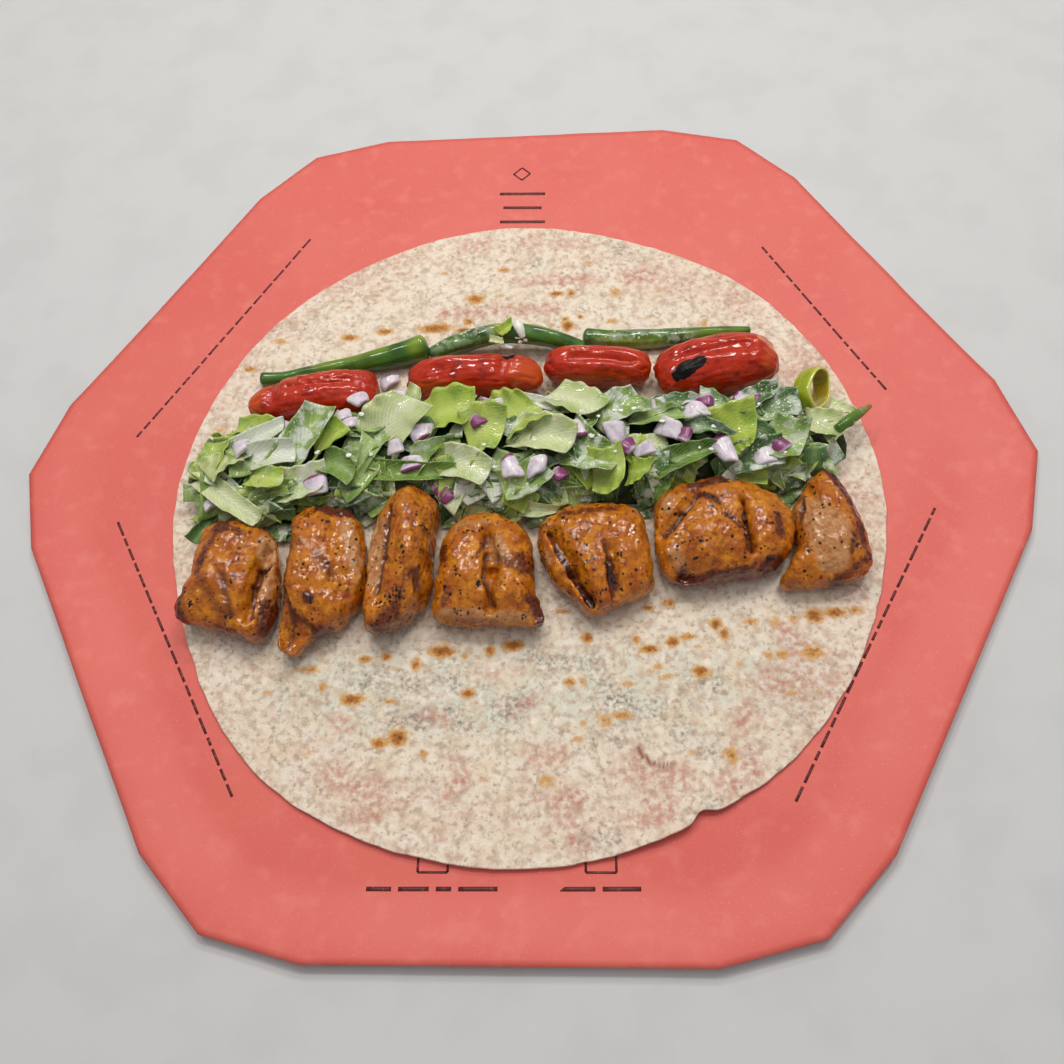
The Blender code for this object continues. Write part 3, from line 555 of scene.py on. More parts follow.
@dataclass(frozen=True)
class GlazedChicken(Finish):
    """Marinated thigh meat, grilled: browned fibrous meat under a thin film of oil and spice."""

    base: str = "BE6C08"

    def paint(self, tree: Tree, place: Any, shader: Node) -> None:
        """Orange spice in patches of 8, 2 and 1 mm, paler meat, browned rims, painted shade in the creases,
        black pepper and char.
        """
        pale = ragged(tree, place, "pale", 3.0, 0.5, 0.25, 0.75)
        browned = ragged(tree, place, "browned", 2.2, 0.9, 0.2, 0.8)
        crusted = both(
            tree, ragged(tree, place, "char", 2.6, 1.0, 0.05, 0.5), specks(tree, place, 1.7, 0.55, 0.9)
        )
        char = both(
            tree, ragged(tree, place, "char", 1.0, 1.6, 0.5, 0.75), specks(tree, place, 1.3, 0.75, 1.0)
        )
        spice = both(tree, blotches(tree, place, 7.0, 0.38, 0.56), specks(tree, place, 1.6, 0.42, 0.6))
        pepper = both(tree, blotches(tree, place, 9.0, 0.4, 0.55), specks(tree, place, 2.3, 0.55, 0.7))
        layers = [
            (blotches(tree, place, 9.0, 0.4, 0.66), "A75306"),
            (blotches(tree, place, 5.0, 0.46, 0.7, 3.0), "D08206"),
            (blotches(tree, place, 2.6, 0.5, 0.76, 4.0), "87380C"),
            (blotches(tree, place, 1.0, 0.6, 0.8, 3.0), "CE8412"),
            (pale, "C08A56"),
            (both(tree, pale, blotches(tree, place, 2.4, 0.4, 0.75, 3.0)), "A9602C"),
            (browned, "6A250A"),
            # painted shade: darker brown where the grooves sink into the meat
            (value_of(tree, "crease"), "521D08"),
            (both(tree, browned, blotches(tree, place, 1.2, 0.45, 0.65, 4.0)), "36140A"),
            (spice, "3A1609"),
            (pepper, "150A07"),
            (crusted, "241009"),
            (char, "0E0908"),
        ]
        self.colour(tree, shader, layers)
        strands = {**noise_inputs(place, 1.3, 4.0), "Roughness": 0.6}
        fibre = add_node(tree, "ShaderNodeTexNoise", strands)
        self.emboss(tree, shader, fibre, 0.6)
        gloss = add_node(tree, "ShaderNodeMapRange", {"Value": char, "To Min": self.rough, "To Max": 0.6})
        tree.links.new(gloss.outputs[0], shader.inputs["Roughness"])


@dataclass(frozen=True)
class GrilledTomato(Finish):
    """Ripe tomato softened on the grill: loose glossy skin over wet red flesh."""

    base: str = "B62402"

    def paint(self, tree: Tree, place: Any, shader: Node) -> None:
        """Red in clouds of 14 and 4 mm, orange flanks, seeds under cut flesh, peeled patches and char."""
        flesh = value_of(tree, "flesh")
        char = ragged(tree, place, "char", 2.2, 1.0, 0.5, 0.56)
        layers = [
            (blotches(tree, place, 14.0, 0.4, 0.65), "BC2E02"),
            (blotches(tree, place, 4.0, 0.5, 0.75), "8A1402"),
            (ragged(tree, place, "orange", 5.0, 0.8, 0.3, 0.9), "C0450C"),
            (both(tree, flesh, blotches(tree, place, 2.2, 0.45, 0.6)), "B5321A"),
            (both(tree, flesh, specks(tree, place, 2.4, 0.5, 0.5)), "C9694A"),
            (ragged(tree, place, "peel", 2.0, 0.4, 0.45, 0.6), "C98A66"),
            (char, "0B0807"),
        ]
        self.colour(tree, shader, layers)
        dry = add_node(tree, "ShaderNodeMapRange", {"Value": char, "To Min": self.coat, "To Max": 0.05})
        tree.links.new(dry.outputs[0], shader.inputs["Coat Weight"])
        skin = add_node(tree, "ShaderNodeTexNoise", noise_inputs(place, 2.2, 3.0))
        self.emboss(tree, shader, skin, 0.35)


@dataclass(frozen=True)
class PepperSkin(Finish):
    """Long green pepper, grilled and oiled: a waxy skin, darker on top, with streaks along it."""

    base: str = "43701B"
    dark: str = "2B4F17"
    light: str = "879E26"

    def paint(self, tree: Tree, place: Any, shader: Node) -> None:
        """Streaks 12 mm long and 1.5 mm wide, white sauce in specks and smears."""
        runs = add_node(
            tree, "ShaderNodeCombineXYZ", {"X": value_of(tree, "along"), "Y": value_of(tree, "around")}
        )
        layers = [
            (blotches(tree, runs, 1500.0, 0.42, 0.65), self.dark),
            (value_of(tree, "pale"), self.light),
            (both(tree, value_of(tree, "sauce"), blotches(tree, place, 3.0, 0.4, 0.62)), "9DA88E"),
            (both(tree, value_of(tree, "sauce"), specks(tree, place, 1.8, 0.45, 0.45)), "E4E8DA"),
            (value_of(tree, "cut"), "B9C06A"),
        ]
        self.colour(tree, shader, layers)
        skin = add_node(tree, "ShaderNodeTexNoise", noise_inputs(place, 2.5, 3.0))
        self.emboss(tree, shader, skin, 0.25)


@dataclass(frozen=True)
class LettuceFinish(Finish):
    """Cut romaine lettuce: thin moist leaf with pale veins, under a film of thin white dressing."""

    base: str = "8CA83C"
    other: str = "B4C468"
    vein: str = "CDD69A"
    shade: str = "5F8424"

    def paint(self, tree: Tree, place: Any, shader: Node) -> None:
        """Side veins at a slant from the middle rib, blisters 5 mm wide, dressing in smears and bubbles."""
        across = add_node(tree, "ShaderNodeMath", {0: value_of(tree, "across")}, operation="ABSOLUTE")
        slant = add_node(
            tree, "ShaderNodeMath", {0: across, 1: -1.3, 2: value_of(tree, "along")}, operation="MULTIPLY_ADD"
        )
        steps = add_node(tree, "ShaderNodeMath", {0: slant, 1: 3.2}, operation="MULTIPLY")
        wobble = add_node(tree, "ShaderNodeTexNoise", noise_inputs(place, 4.0, 2.0))
        bent = add_node(tree, "ShaderNodeMath", {0: wobble, 1: 1.1, 2: steps}, operation="MULTIPLY_ADD")
        wave = add_node(tree, "ShaderNodeMath", {0: bent, 1: 0.5}, operation="PINGPONG")
        side = add_node(tree, "ShaderNodeMapRange", {"Value": wave, "From Min": 0.10, "From Max": 0.01})
        film = both(tree, value_of(tree, "film"), value_of(tree, "upper"))
        smear = both(tree, film, blotches(tree, place, 5.0, 0.44, 0.62, 5.0))
        bubble = both(tree, film, specks(tree, place, 1.1, 0.3, 0.5))
        layers = [
            (value_of(tree, "tint"), self.other),
            (blotches(tree, place, 7.0, 0.42, 0.72, 3.0), self.shade),
            (value_of(tree, "pale"), self.vein),
            (side, self.vein),
            (value_of(tree, "rib"), self.vein),
            (value_of(tree, "rim"), self.vein),
            (smear, "D9DED2"),
            (bubble, "F1F3EC"),
        ]
        self.colour(tree, shader, layers)
        relief = add_node(tree, "ShaderNodeTexNoise", noise_inputs(place, 1.6, 3.0))
        raised = add_node(tree, "ShaderNodeMath", {0: side, 1: 0.5, 2: relief}, operation="MULTIPLY_ADD")
        self.emboss(tree, shader, raised, 0.3)


@dataclass(frozen=True)
class OnionFlesh(Finish):
    """Raw red onion, diced: juicy lilac-white layers with one magenta skin side."""

    base: str = "DDD3DA"

    def paint(self, tree: Tree, place: Any, shader: Node) -> None:
        """Clouds 3 mm wide, and the magenta of the outer side fading inwards."""
        layers = [
            (blotches(tree, place, 3.0, 0.45, 0.7), "C4B4C6"),
            (blotches(tree, place, 1.2, 0.6, 0.8), "E9E2E6"),
            (ragged(tree, place, "skin", 1.5, 0.3, 0.35, 0.8), "83386A"),
        ]
        self.colour(tree, shader, layers)


@dataclass(frozen=True)
class PickledPepper(Finish):
    """Yellow-green pepper pickled in brine: waxy skin, a paler wall at the cut, wet olive flesh inside."""

    base: str = "A2AE1C"

    def paint(self, tree: Tree, place: Any, shader: Node) -> None:
        """Clouds 6 mm wide on the skin, orange tints 3 mm wide inside, and the pale cut rim."""
        inner = value_of(tree, "inner")
        layers = [
            (blotches(tree, place, 6.0, 0.4, 0.7), "8CA018"),
            (inner, "9C981C"),
            (both(tree, inner, blotches(tree, place, 3.0, 0.5, 0.72)), "C08A3A"),
            (value_of(tree, "rim"), "CDD06A"),
        ]
        self.colour(tree, shader, layers)
        grain = add_node(tree, "ShaderNodeTexNoise", noise_inputs(place, 1.5, 3.0))
        self.emboss(tree, shader, grain, 0.12)


@dataclass(frozen=True)
class PlainFood(Finish):
    """A moist food of one colour with a second in patches: sauce, stalks, the heap's inside."""

    base: str = "E8E8DF"
    other: str = "DADCCB"
    patch: float = 3.0
    grain: float = 1.2
    depth: float = 0.2

    def paint(self, tree: Tree, place: Any, shader: Node) -> None:
        """Patches of the second colour and a fine grain."""
        self.colour(tree, shader, [(blotches(tree, place, self.patch, 0.42, 0.66, 3.0), self.other)])
        grain = add_node(tree, "ShaderNodeTexNoise", noise_inputs(place, self.grain, 3.0))
        self.emboss(tree, shader, grain, self.depth)


# The sheet and the bread


@dataclass
class WrappingSheet:
    """The sheet of wrapping paper: a hexagon with blunt corners, its front edge lifted."""

    radius: float = 226.9
    thick: float = 0.4
    corner_share: float = 0.953
    shoulder_share: float = 0.922
    shoulder_degrees: float = 10.0
    lift_from: float = 0.86
    lifts: tuple = ((-90, 55, 4.5), (-150, 30, 2.5), (-30, 30, 3.0), (0, 20, 1.5), (180, 20, 1.0))
    flat_radius: float = 152.0  # the bread lies on this much of it
    ripple: float = 0.45
    steps: int = 24
    rows: int = 80
    lower_rows: tuple = (9, 29, 49, 59, 64, 69, 72, 75, 77, 79)  # rings that its flatter lower face keeps

    def outline(self) -> Array:
        """The edge: three points at each corner, and each side split in equal steps."""
        corners = []
        for turn in range(0, 360, 60):
            for off, share in ((-1, self.shoulder_share), (0, self.corner_share), (1, self.shoulder_share)):
                angle = math.radians(turn + off * self.shoulder_degrees)
                corners.append((share * self.radius * math.cos(angle), share * self.radius * math.sin(angle)))
        knots = np.array(corners)
        after = np.roll(knots, -1, axis=0)
        steps = np.arange(self.steps) / self.steps
        return (knots[:, None, :] + (after - knots)[:, None, :] * steps[None, :, None]).reshape(-1, 2)

    def underside(self, flat: Array, share: Array) -> Array:
        """Height of the sheet's lower face: the lift of its edge, and ripples outside the bread."""
        angles = np.degrees(np.arctan2(flat[..., 1], flat[..., 0]))
        outer = smoothstep((share - self.lift_from) / (1.0 - self.lift_from))
        lift = lifted(angles, self.lifts) * outer
        loose = smoothstep((np.hypot(flat[..., 0], flat[..., 1]) - self.flat_radius) / 14.0)
        wave = np.maximum(noise(flat, 34.0, 5) + 0.4 * noise(flat, 13.0, 8), 0.0)
        return lift + self.ripple * wave * loose

    def build(self) -> list[Object]:
        """The sheet as a closed shell: rings out along its lower face and back along the upper one."""
        edge = self.outline()
        shares = np.linspace(0.0, 1.0, self.rows + 1)[1:]
        flat = shares[:, None, None] * edge[None, :, :]
        low = self.underside(flat, np.broadcast_to(shares[:, None], flat.shape[:2]))
        lower = np.concatenate([flat, low[..., None]], axis=-1)
        upper = np.concatenate([flat, (low + self.thick)[..., None]], axis=-1)
        grid = np.concatenate([lower[list(self.lower_rows)], upper[::-1]])
        surface = ring_surface(grid, np.zeros(3), np.array([0.0, 0.0, self.thick]))
        paper = CoatedPaper("machine_glazed_kraft_paper", rough=0.5).material()
        return [make_piece("wrapping_sheet", surface, paper, ["wrapper_sheet"])]

    def top_at(self, points: Array) -> Array:
        """Height of the sheet's upper face over places on it."""
        edge = self.outline()
        toward = np.degrees(np.arctan2(points[:, 1], points[:, 0]))
        around = np.degrees(np.arctan2(edge[:, 1], edge[:, 0]))
        order = np.argsort(around)
        reach = np.interp(toward, around[order], np.hypot(*edge[order].T), period=360.0)
        share = np.hypot(points[:, 0], points[:, 1]) / reach
        return self.underside(points, share) + self.thick


@dataclass
class PrintedMarks:
    """Plain marks printed on the sheet: broken rules along its sides, short bars and plain squares."""

    sheet: WrappingSheet
    ink: float = 0.03
    gap: float = 0.01  # under the ink
    step: float = 3.0  # between stations of a mark
    line: float = 0.45  # half the width of the squares' lines
    seed: int = 3
    rule: float = 0.55  # half the width of a broken rule
    dash: tuple[float, float] = (3.0, 8.0)
    space: float = 1.6
    rules: tuple = (
        (-172.0, 19.4, -104.2, 133.4), (114.6, 116.8, 160.3, 34.0), (-172.1, -23.3, -103.2, -141.7),
        (171.5, -23.9, 102.7, -141.7),
    )
    bars: tuple = (
        (-11.5, 157.0, 11.2, 156.0, 0.9), (-9.5, 147.8, 9.5, 146.8, 0.9), (-11.0, 138.6, 11.2, 137.6, 0.9),
        (-51.0, -171.6, -42.0, -171.6, 0.8), (-39.5, -171.6, -28.5, -171.5, 0.8),
        (-26.0, -171.5, -20.5, -171.5, 0.8), (-18.0, -171.5, -4.0, -171.4, 0.8),
        (18.0, -171.4, 30.5, -171.3, 0.8), (33.0, -171.3, 46.5, -171.2, 0.8),
    )
    squares: tuple = ((-27.5, -160.5, 5.4), (32.6, -160.4, 5.4))
    diamond: Triple = (-0.6, 170.0, 4.2)

    def bar(self, start: Array, end: Array, half: float) -> Surface:
        """A thin closed strip on the sheet: four corners of its section at each of its stations."""
        along = end - start
        stations = max(2, int(np.linalg.norm(along) / self.step) + 1)
        line = start + np.linspace(0.0, 1.0, stations)[:, None] * along
        side = half * np.array([-along[1], along[0]]) / np.linalg.norm(along)
        corners = []
        for sign, height in ((1, 0.0), (-1, 0.0), (-1, self.ink), (1, self.ink)):
            flat = line + sign * side
            corners.append(np.column_stack([flat, self.sheet.top_at(flat) + self.gap + height]))
        return capped(np.stack(corners, axis=1))

    def broken(self, start: Array, end: Array, draw: np.random.Generator) -> list[Surface]:
        """A rule broken into dashes of uneven length."""
        length = float(np.linalg.norm(end - start))
        run, made = 0.0, []
        while run < length - self.dash[0]:
            stop = min(run + draw.uniform(*self.dash), length)
            first, last = (start + (end - start) * at / length for at in (run, stop))
            made.append(self.bar(first, last, self.rule))
            run = stop + self.space
        return made

    def build(self) -> list[Object]:
        """All marks as one piece."""
        draw = np.random.default_rng(self.seed)
        surfaces = []
        for x0, y0, x1, y1 in self.rules:
            surfaces += self.broken(np.array([x0, y0]), np.array([x1, y1]), draw)
        for x0, y0, x1, y1, half in self.bars:
            surfaces.append(self.bar(np.array([x0, y0]), np.array([x1, y1]), half))
        frames = [(x, y, half, 45.0) for x, y, half in self.squares] + [(*self.diamond, 0.0)]
        for x, y, half, turn in frames:
            angles = np.radians(turn + 90.0 * np.arange(5))
            reach = half * (math.sqrt(2.0) if turn else 1.0)
            corners = np.array([x, y]) + reach * np.column_stack([np.cos(angles), np.sin(angles)])
            surfaces += [self.bar(a, b, self.line) for a, b in zip(corners[:-1], corners[1:])]
        ink = PrintingInk("worn_printing_ink", rough=0.55).material()
        return [make_piece("printed_marks", merged(surfaces), ink)]


# Toasted spots in front of the chicken and behind the peppers: x, y, half-length, half-width, strength
TOASTED = (
    (-80, -91, 5.5, 1.8, 0.65), (-62, -103, 5.0, 2.3, 0.95), (-47, -104, 2.6, 0.9, 0.8),
    (-58, -87, 3.8, 1.7, 0.75), (-50, -86, 2.0, 2.2, 0.8), (-38, -89, 2.0, 3.0, 0.8),
    (-46, -91, 1.7, 1.2, 0.5), (-74, -98, 1.8, 2.2, 0.7), (-28, -84, 5.6, 2.6, 0.95),
    (-19, -86, 1.5, 2.0, 0.7), (-9, -84, 2.6, 2.4, 0.8), (0, -82, 4.4, 2.2, 0.95), (-17, -101, 3.0, 2.0, 0.9),
    (-14, -105, 1.2, 0.9, 0.6), (-50, -120, 3.6, 2.2, 0.85), (-43, -118, 3.8, 3.2, 1.0),
    (-36, -120, 2.0, 1.4, 0.4), (-33, -124, 1.8, 2.2, 0.7), (-77, -124, 2.3, 2.4, 0.5),
    (-10, -134, 3.2, 2.8, 0.42), (-10, -113, 5.5, 1.6, 0.35), (-23, -113, 1.3, 1.0, 0.35),
    (-96, -100, 3.0, 1.6, 0.5), (29, -79, 2.4, 2.2, 0.95), (37, -82, 1.4, 1.4, 0.4), (22, -97, 2.4, 1.8, 0.8),
    (27, -97, 1.4, 2.6, 0.6), (44, -98, 3.4, 1.4, 0.6), (48, -80, 1.6, 2.2, 0.8), (53, -84, 4.0, 1.7, 1.0),
    (62, -81, 2.6, 2.2, 1.0), (68, -79, 3.4, 1.6, 0.8), (71, -83, 2.6, 1.0, 0.45), (56, -91, 2.4, 1.6, 0.6),
    (53, -93, 1.6, 1.2, 0.5), (59, -95, 3.4, 1.4, 0.65), (79, -74, 2.4, 2.4, 1.0), (82, -78, 2.0, 2.8, 0.85),
    (72, -93, 3.4, 2.4, 0.95), (76, -94, 1.2, 1.2, 0.7), (93, -73, 3.2, 2.0, 0.7), (102, -73, 3.0, 2.6, 0.55),
    (109, -72, 2.2, 1.4, 0.7), (117, -71, 3.8, 3.0, 1.0), (125, -70, 4.4, 2.2, 0.95),
    (133, -69, 4.4, 2.0, 0.7), (98, -87, 2.8, 2.4, 0.6), (103, -87, 3.0, 2.6, 0.7),
    (115, -86, 4.8, 3.0, 0.75), (87, -90, 1.6, 1.8, 0.5), (35, -112, 3.6, 3.2, 0.6),
    (42, -110, 4.4, 1.8, 0.75), (27, -113, 2.0, 1.6, 0.5), (57, -110, 1.5, 1.4, 0.45),
    (69, -112, 2.4, 2.2, 0.45), (25, -119, 2.4, 1.4, 0.55), (67, -124, 2.2, 1.3, 0.5),
    (81, -125, 2.8, 3.4, 0.7), (13, -134, 3.4, 2.8, 0.6), (105, -102, 1.8, 1.8, 0.5),
    (115, -101, 1.6, 1.6, 0.4), (19, -68, 4.0, 1.2, 0.7), (53, -67, 2.6, 1.4, 0.85),
    (61, -65, 3.0, 1.8, 0.85), (-8, 106, 3.2, 1.8, 0.7), (33, 109, 3.6, 1.4, 0.5), (-36, 105, 2.4, 1.6, 0.55),
    (-21, 89, 4.4, 3.0, 0.85), (-9, 91, 2.6, 1.6, 0.5), (17, 91, 3.6, 1.6, 0.95), (24, 91, 2.0, 2.0, 0.9),
    (44, 90, 3.4, 3.8, 0.6), (-24, 76, 2.6, 1.8, 0.9), (-26, 71, 3.4, 1.8, 1.0), (22, 72, 2.8, 3.0, 1.0),
    (21, 76, 2.0, 1.4, 0.8), (28, 77, 1.8, 1.4, 0.8), (42, 74, 4.6, 1.6, 0.55), (15, 73, 1.6, 1.6, 0.5),
    (64, 92, 2.6, 1.8, 0.4), (-39, 73, 9.0, 2.6, 0.9), (-63, 72, 4.0, 2.0, 0.9), (-79, 69, 4.0, 2.0, 0.9),
    (84, 71, 2.4, 2.2, 0.6), (-124, 53, 3.4, 1.6, 0.9), (-112, 68, 4.4, 1.8, 0.6), (-82, 86, 1.8, 1.6, 0.5),
    (-100, 85, 2.6, 1.4, 0.45), (-107, 56, 1.4, 1.6, 0.5), (-127, 36, 2.0, 1.0, 0.5),
    (-134, 20, 5.0, 2.2, 0.45), (-131, 7, 2.6, 1.6, 0.4), (-143, 4, 2.0, 1.4, 0.6),
    (-104, 70, 4.0, 1.4, 0.35),
)

# Blotches of thin dough: pink ones and grey ones
PINK: tuple[Stroke, ...] = (
    (-2, 99, 31, 99, 4.0, 1.0), (50, 99, 60, 99, 4.0, 1.0), (-36, 81, 16, 83, 4.5, 1.0),
    (-26, 122, -20, 121, 5.0, 0.6), (0, 123, 30, 120, 4.0, 0.5), (-66, -111, -62, -114, 4.0, 0.8),
    (-34, -110, -28, -110, 4.0, 1.0), (-22, -126, -17, -133, 4.0, 0.8), (-25, -140, -20, -136, 4.0, 0.7),
    (-66, -132, -44, -140, 6.0, 0.6), (-56, -147, -50, -145, 4.0, 0.9), (-12, -92, 4, -90, 4.0, 0.7),
    (104, -76, 110, -84, 5.0, 0.8), (95, -96, 104, -100, 6.0, 0.8), (84, -114, 88, -108, 4.0, 0.8),
    (80, -136, 90, -128, 5.0, 0.8), (8, -126, 18, -124, 5.0, 1.0), (12, -140, 24, -140, 4.0, 1.0),
    (21, -147, 23, -156, 4.0, 0.7), (42, -130, 62, -134, 6.0, 0.7), (50, -146, 56, -146, 5.0, 0.7),
    (2, -107, 8, -104, 4.0, 1.0), (110, -95, 124, -104, 8.0, 0.5), (120, 30, 134, 60, 10.0, 0.5),
    (-140, 40, -120, 84, 9.0, 0.35), (130, -60, 142, -20, 9.0, 0.5), (60, 100, 100, 84, 9.0, 0.4),
    (-90, 100, -60, 118, 9.0, 0.35),
)
GREY: tuple[Stroke, ...] = (
    (-60, -95, -40, -98, 8.0, 0.8), (-46, -112, -34, -112, 5.0, 1.0), (-24, -94, -12, -98, 8.0, 0.8),
    (-24, -108, -18, -114, 5.0, 1.0), (-6, -110, 4, -104, 6.0, 1.0), (-90, -96, -76, -102, 7.0, 0.7),
    (20, -90, 32, -90, 7.0, 0.8), (36, -102, 56, -108, 8.0, 0.9), (68, -97, 76, -98, 6.0, 0.9),
    (64, -118, 74, -124, 6.0, 0.8), (66, -142, 74, -142, 5.0, 0.8), (28, -156, 38, -154, 5.0, 0.9),
    (4, -86, 12, -88, 5.0, 0.8), (30, -120, 40, -118, 5.0, 0.8), (106, -106, 114, -104, 5.0, 0.6),
    (4, 108, 12, 110, 5.0, 0.9), (50, 112, 60, 111, 6.0, 0.8), (38, 121, 46, 119, 5.0, 0.6),
    (-60, 60, -40, 62, 6.0, 0.5), (-120, 74, -96, 80, 7.0, 0.5),
)
CRACK: tuple[Stroke, ...] = (
    (47, -122, 49, -125, 0.7, 1.0), (49, -125, 52, -128, 0.7, 1.0), (52, -128, 56, -129, 0.7, 1.0),
    (56, -129, 60, -128, 0.7, 1.0),
)
COOL: tuple[Stroke, ...] = ((-85, -96, 100, -92, 17.0, 1.0), (-60, -108, 80, -108, 12.0, 0.7))


@dataclass
class Flatbread:
    """The thin round bread, with the blisters and blotches of its baking."""

    centre: tuple[float, float] = (1.7, -15.6)
    radius: float = 149.0
    floor: float = 0.7
    thick: float = 2.0
    rim_thick: float = 1.2
    wander: tuple = (
        (1, -3.1, 0.007), (2, 2.4, 0.004), (3, 1.3, 0.0055), (4, -2.1, 0.003), (5, -0.8, 0.004),
        (6, 3.0, 0.0026), (8, 1.3, 0.0034),
    )
    notch: Triple = (-62.5, 1.6, 3.0)
    lifts: tuple = ((-66, 12, 2.6), (-100, 22, 1.2), (20, 18, 1.4), (150, 20, 1.2), (75, 25, 1.0))
    lift_from: float = 0.90
    sides: int = 560
    rows: int = 150

    def reach(self, angles: Array) -> Array:
        """Distance of the rim from the middle: slow waves, fine crinkles and one small tear."""
        radius = np.full(angles.shape, self.radius)
        for waves, phase, share in self.wander:
            radius += self.radius * share * np.sin(waves * np.radians(angles) + phase)
        ring = np.column_stack([np.cos(np.radians(angles)), np.sin(np.radians(angles))]) * self.radius
        radius += 0.35 * noise(ring, 9.0, 11) + 0.2 * noise(ring, 3.5, 12)
        direction, width, depth = self.notch
        return radius - depth * np.exp(-(((angles - direction) / width) ** 2))

    def relief(self, flat: Array) -> Array:
        """Low waves of the rolled dough, with finer ones on them."""
        return 0.22 * noise(flat, 26.0, 21) + 0.12 * noise(flat, 7.0, 22) + 0.05 * noise(flat, 2.5, 23)

    def toasted(self, flat: Array) -> Array:
        """Strength of toasting: the strongest of the spots, each a bell over an oval."""
        brown = np.zeros(flat.shape[:-1])
        for x, y, length, width, strength in TOASTED:
            away = ((flat[..., 0] - x) / length) ** 2 + ((flat[..., 1] - y) / width) ** 2
            brown = np.maximum(brown, strength * 1.15 * np.exp(-0.8 * away))
        return brown

    def build(self) -> list[Object]:
        """The bread as a closed shell: rings out along its lower face and back along the upper one."""
        angles = np.linspace(-180.0, 180.0, self.sides, endpoint=False)
        rim = self.reach(angles)[:, None] * np.column_stack(
            [np.cos(np.radians(angles)), np.sin(np.radians(angles))]
        )
        rise = lifted(angles, self.lifts)
        under = np.array([0.3, 0.6, 0.8, 0.9, 0.94, 0.98, 0.996])
        over = np.concatenate([[1.0, 0.998], 1.0 - np.linspace(0.004, 0.99, self.rows)])
        rings, heights = [], []
        for share, upper in [(s, 0.0) for s in under] + [(s, 1.0) for s in over]:
            outer = smoothstep(np.array((share - self.lift_from) / (1.0 - self.lift_from)))
            thick = self.thick + (self.rim_thick - self.thick) * outer
            if share == 1.0:
                upper = 0.5
            flat = np.asarray(self.centre) + share * rim
            rings.append(flat)
            heights.append(self.floor + rise * outer + upper * thick * np.ones(self.sides))
        flat, height = np.array(rings), np.array(heights)
        brown = self.toasted(flat)
        upper = (np.arange(len(rings)) >= len(under) + 1)[:, None]
        height = height + np.where(upper, self.relief(flat) + 0.3 * np.minimum(brown, 1.0), 0.0)
        x, y = flat[..., 0], flat[..., 1]
        values = {
            "brown": brown,
            "pink": stroke_share(x, y, PINK) + self.edge_share(flat),
            "grey": stroke_share(x, y, GREY),
            "cool": stroke_share(x, y, COOL),
            "crack": stroke_share(x, y, CRACK, 0.9),
        }
        grid = np.concatenate([flat, height[..., None]], axis=-1)
        low = np.array([*self.centre, self.floor])
        high = np.array([*self.centre, self.floor + self.thick])
        surface = ring_surface(grid, low, high, values)
        bread = GriddledBread(
            "griddled_wheat_flatbread", rough=0.85, soft=0.1, soft_reach=1.5, sheen=0.1
        ).material()
        return [make_piece("flatbread_round", surface, bread, ["flatbread"])]

    def edge_share(self, flat: Array) -> Array:
        """A faint pink that grows towards the rim."""
        away = np.hypot(flat[..., 0] - self.centre[0], flat[..., 1] - self.centre[1]) / self.radius
        return 0.35 * smoothstep((away - 0.72) / 0.2)


# Chicken and tomatoes: lumps over an outline


@dataclass(frozen=True)
class LumpForm:
    """How a lump's side rises: where its belly is, and how full it is above and below it."""

    belly: float
    crown: float
    foot: float


MEAT = LumpForm(0.42, 2.5, 3.2)
FRUIT = LumpForm(0.45, 2.1, 2.4)


def lump_grid(
    outline: Array, height: float, strokes: Sequence[Stroke], form: LumpForm, rows: int
) -> tuple[Array, Array]:
    """Rings of a rounded lump over an outline.

    At level angle a the outline shrinks towards its middle by cos(a) to the power 2 / crown, and the height
    grows from the belly line by sin(a) to the same power. Below the belly line foot takes crown's place.

    Args:
        outline: Points round the lump, counter-clockwise.
        height: Of the lump over the bread.
        strokes: Ridges and creases on its top.
        form: Its side's form.
        rows: Number of rings, spaced evenly along the side.

    Returns:
        Rings by sides by 3, and each ring's level from 0 at the belly line to 1 at the top.
    """
    fine = np.radians(np.linspace(-86.0, 88.5, 600))
    power = np.where(fine > 0, 2.0 / form.crown, 2.0 / form.foot)
    share = np.cos(fine) ** power
    swell = np.abs(np.sin(fine)) ** power
    z = np.where(fine > 0, form.belly + (1.0 - form.belly) * swell, form.belly * (1.0 - swell))
    width = float(np.mean(np.linalg.norm(outline - outline.mean(axis=0), axis=1)))
    run = np.concatenate([[0.0], np.cumsum(np.hypot(np.diff(share) * width, np.diff(z) * height))])
    at = np.linspace(0.0, run[-1], rows)
    share, z, level = (np.interp(at, run, track)[:, None] for track in (share, z, np.sin(fine)))
    middle = outline.mean(axis=0)
    flat = middle + share[..., None] * (outline - middle)[None]
    relief = stroke_rise(flat[..., 0], flat[..., 1], strokes) * smoothstep(level / 0.6)
    grid = np.concatenate([flat, (TABLE + height * z + relief)[..., None]], axis=-1)
    return grid, np.broadcast_to(np.maximum(level, 0.0), flat.shape[:2])


def closed_lump(grid: Array, values: dict[str, Array]) -> Surface:
    """The lump's rings with a pole below and above, at the middle of the end rings."""
    low, high = grid[0].mean(axis=0), grid[-1].mean(axis=0)
    low[2] = TABLE
    return ring_surface(grid, low, high, values)


@dataclass(frozen=True)
class Cut:
    """One piece of chicken: its outline and height, its ridges and creases, and where its colour differs."""

    outline: tuple
    height: float
    strokes: tuple[Stroke, ...]
    grooves: tuple[Stroke, ...] = ()
    pale: tuple[Stroke, ...] = ()
    browned: tuple[Stroke, ...] = ()
    char: tuple[Stroke, ...] = ()
    grain: float = 80.0  # direction of its fibres


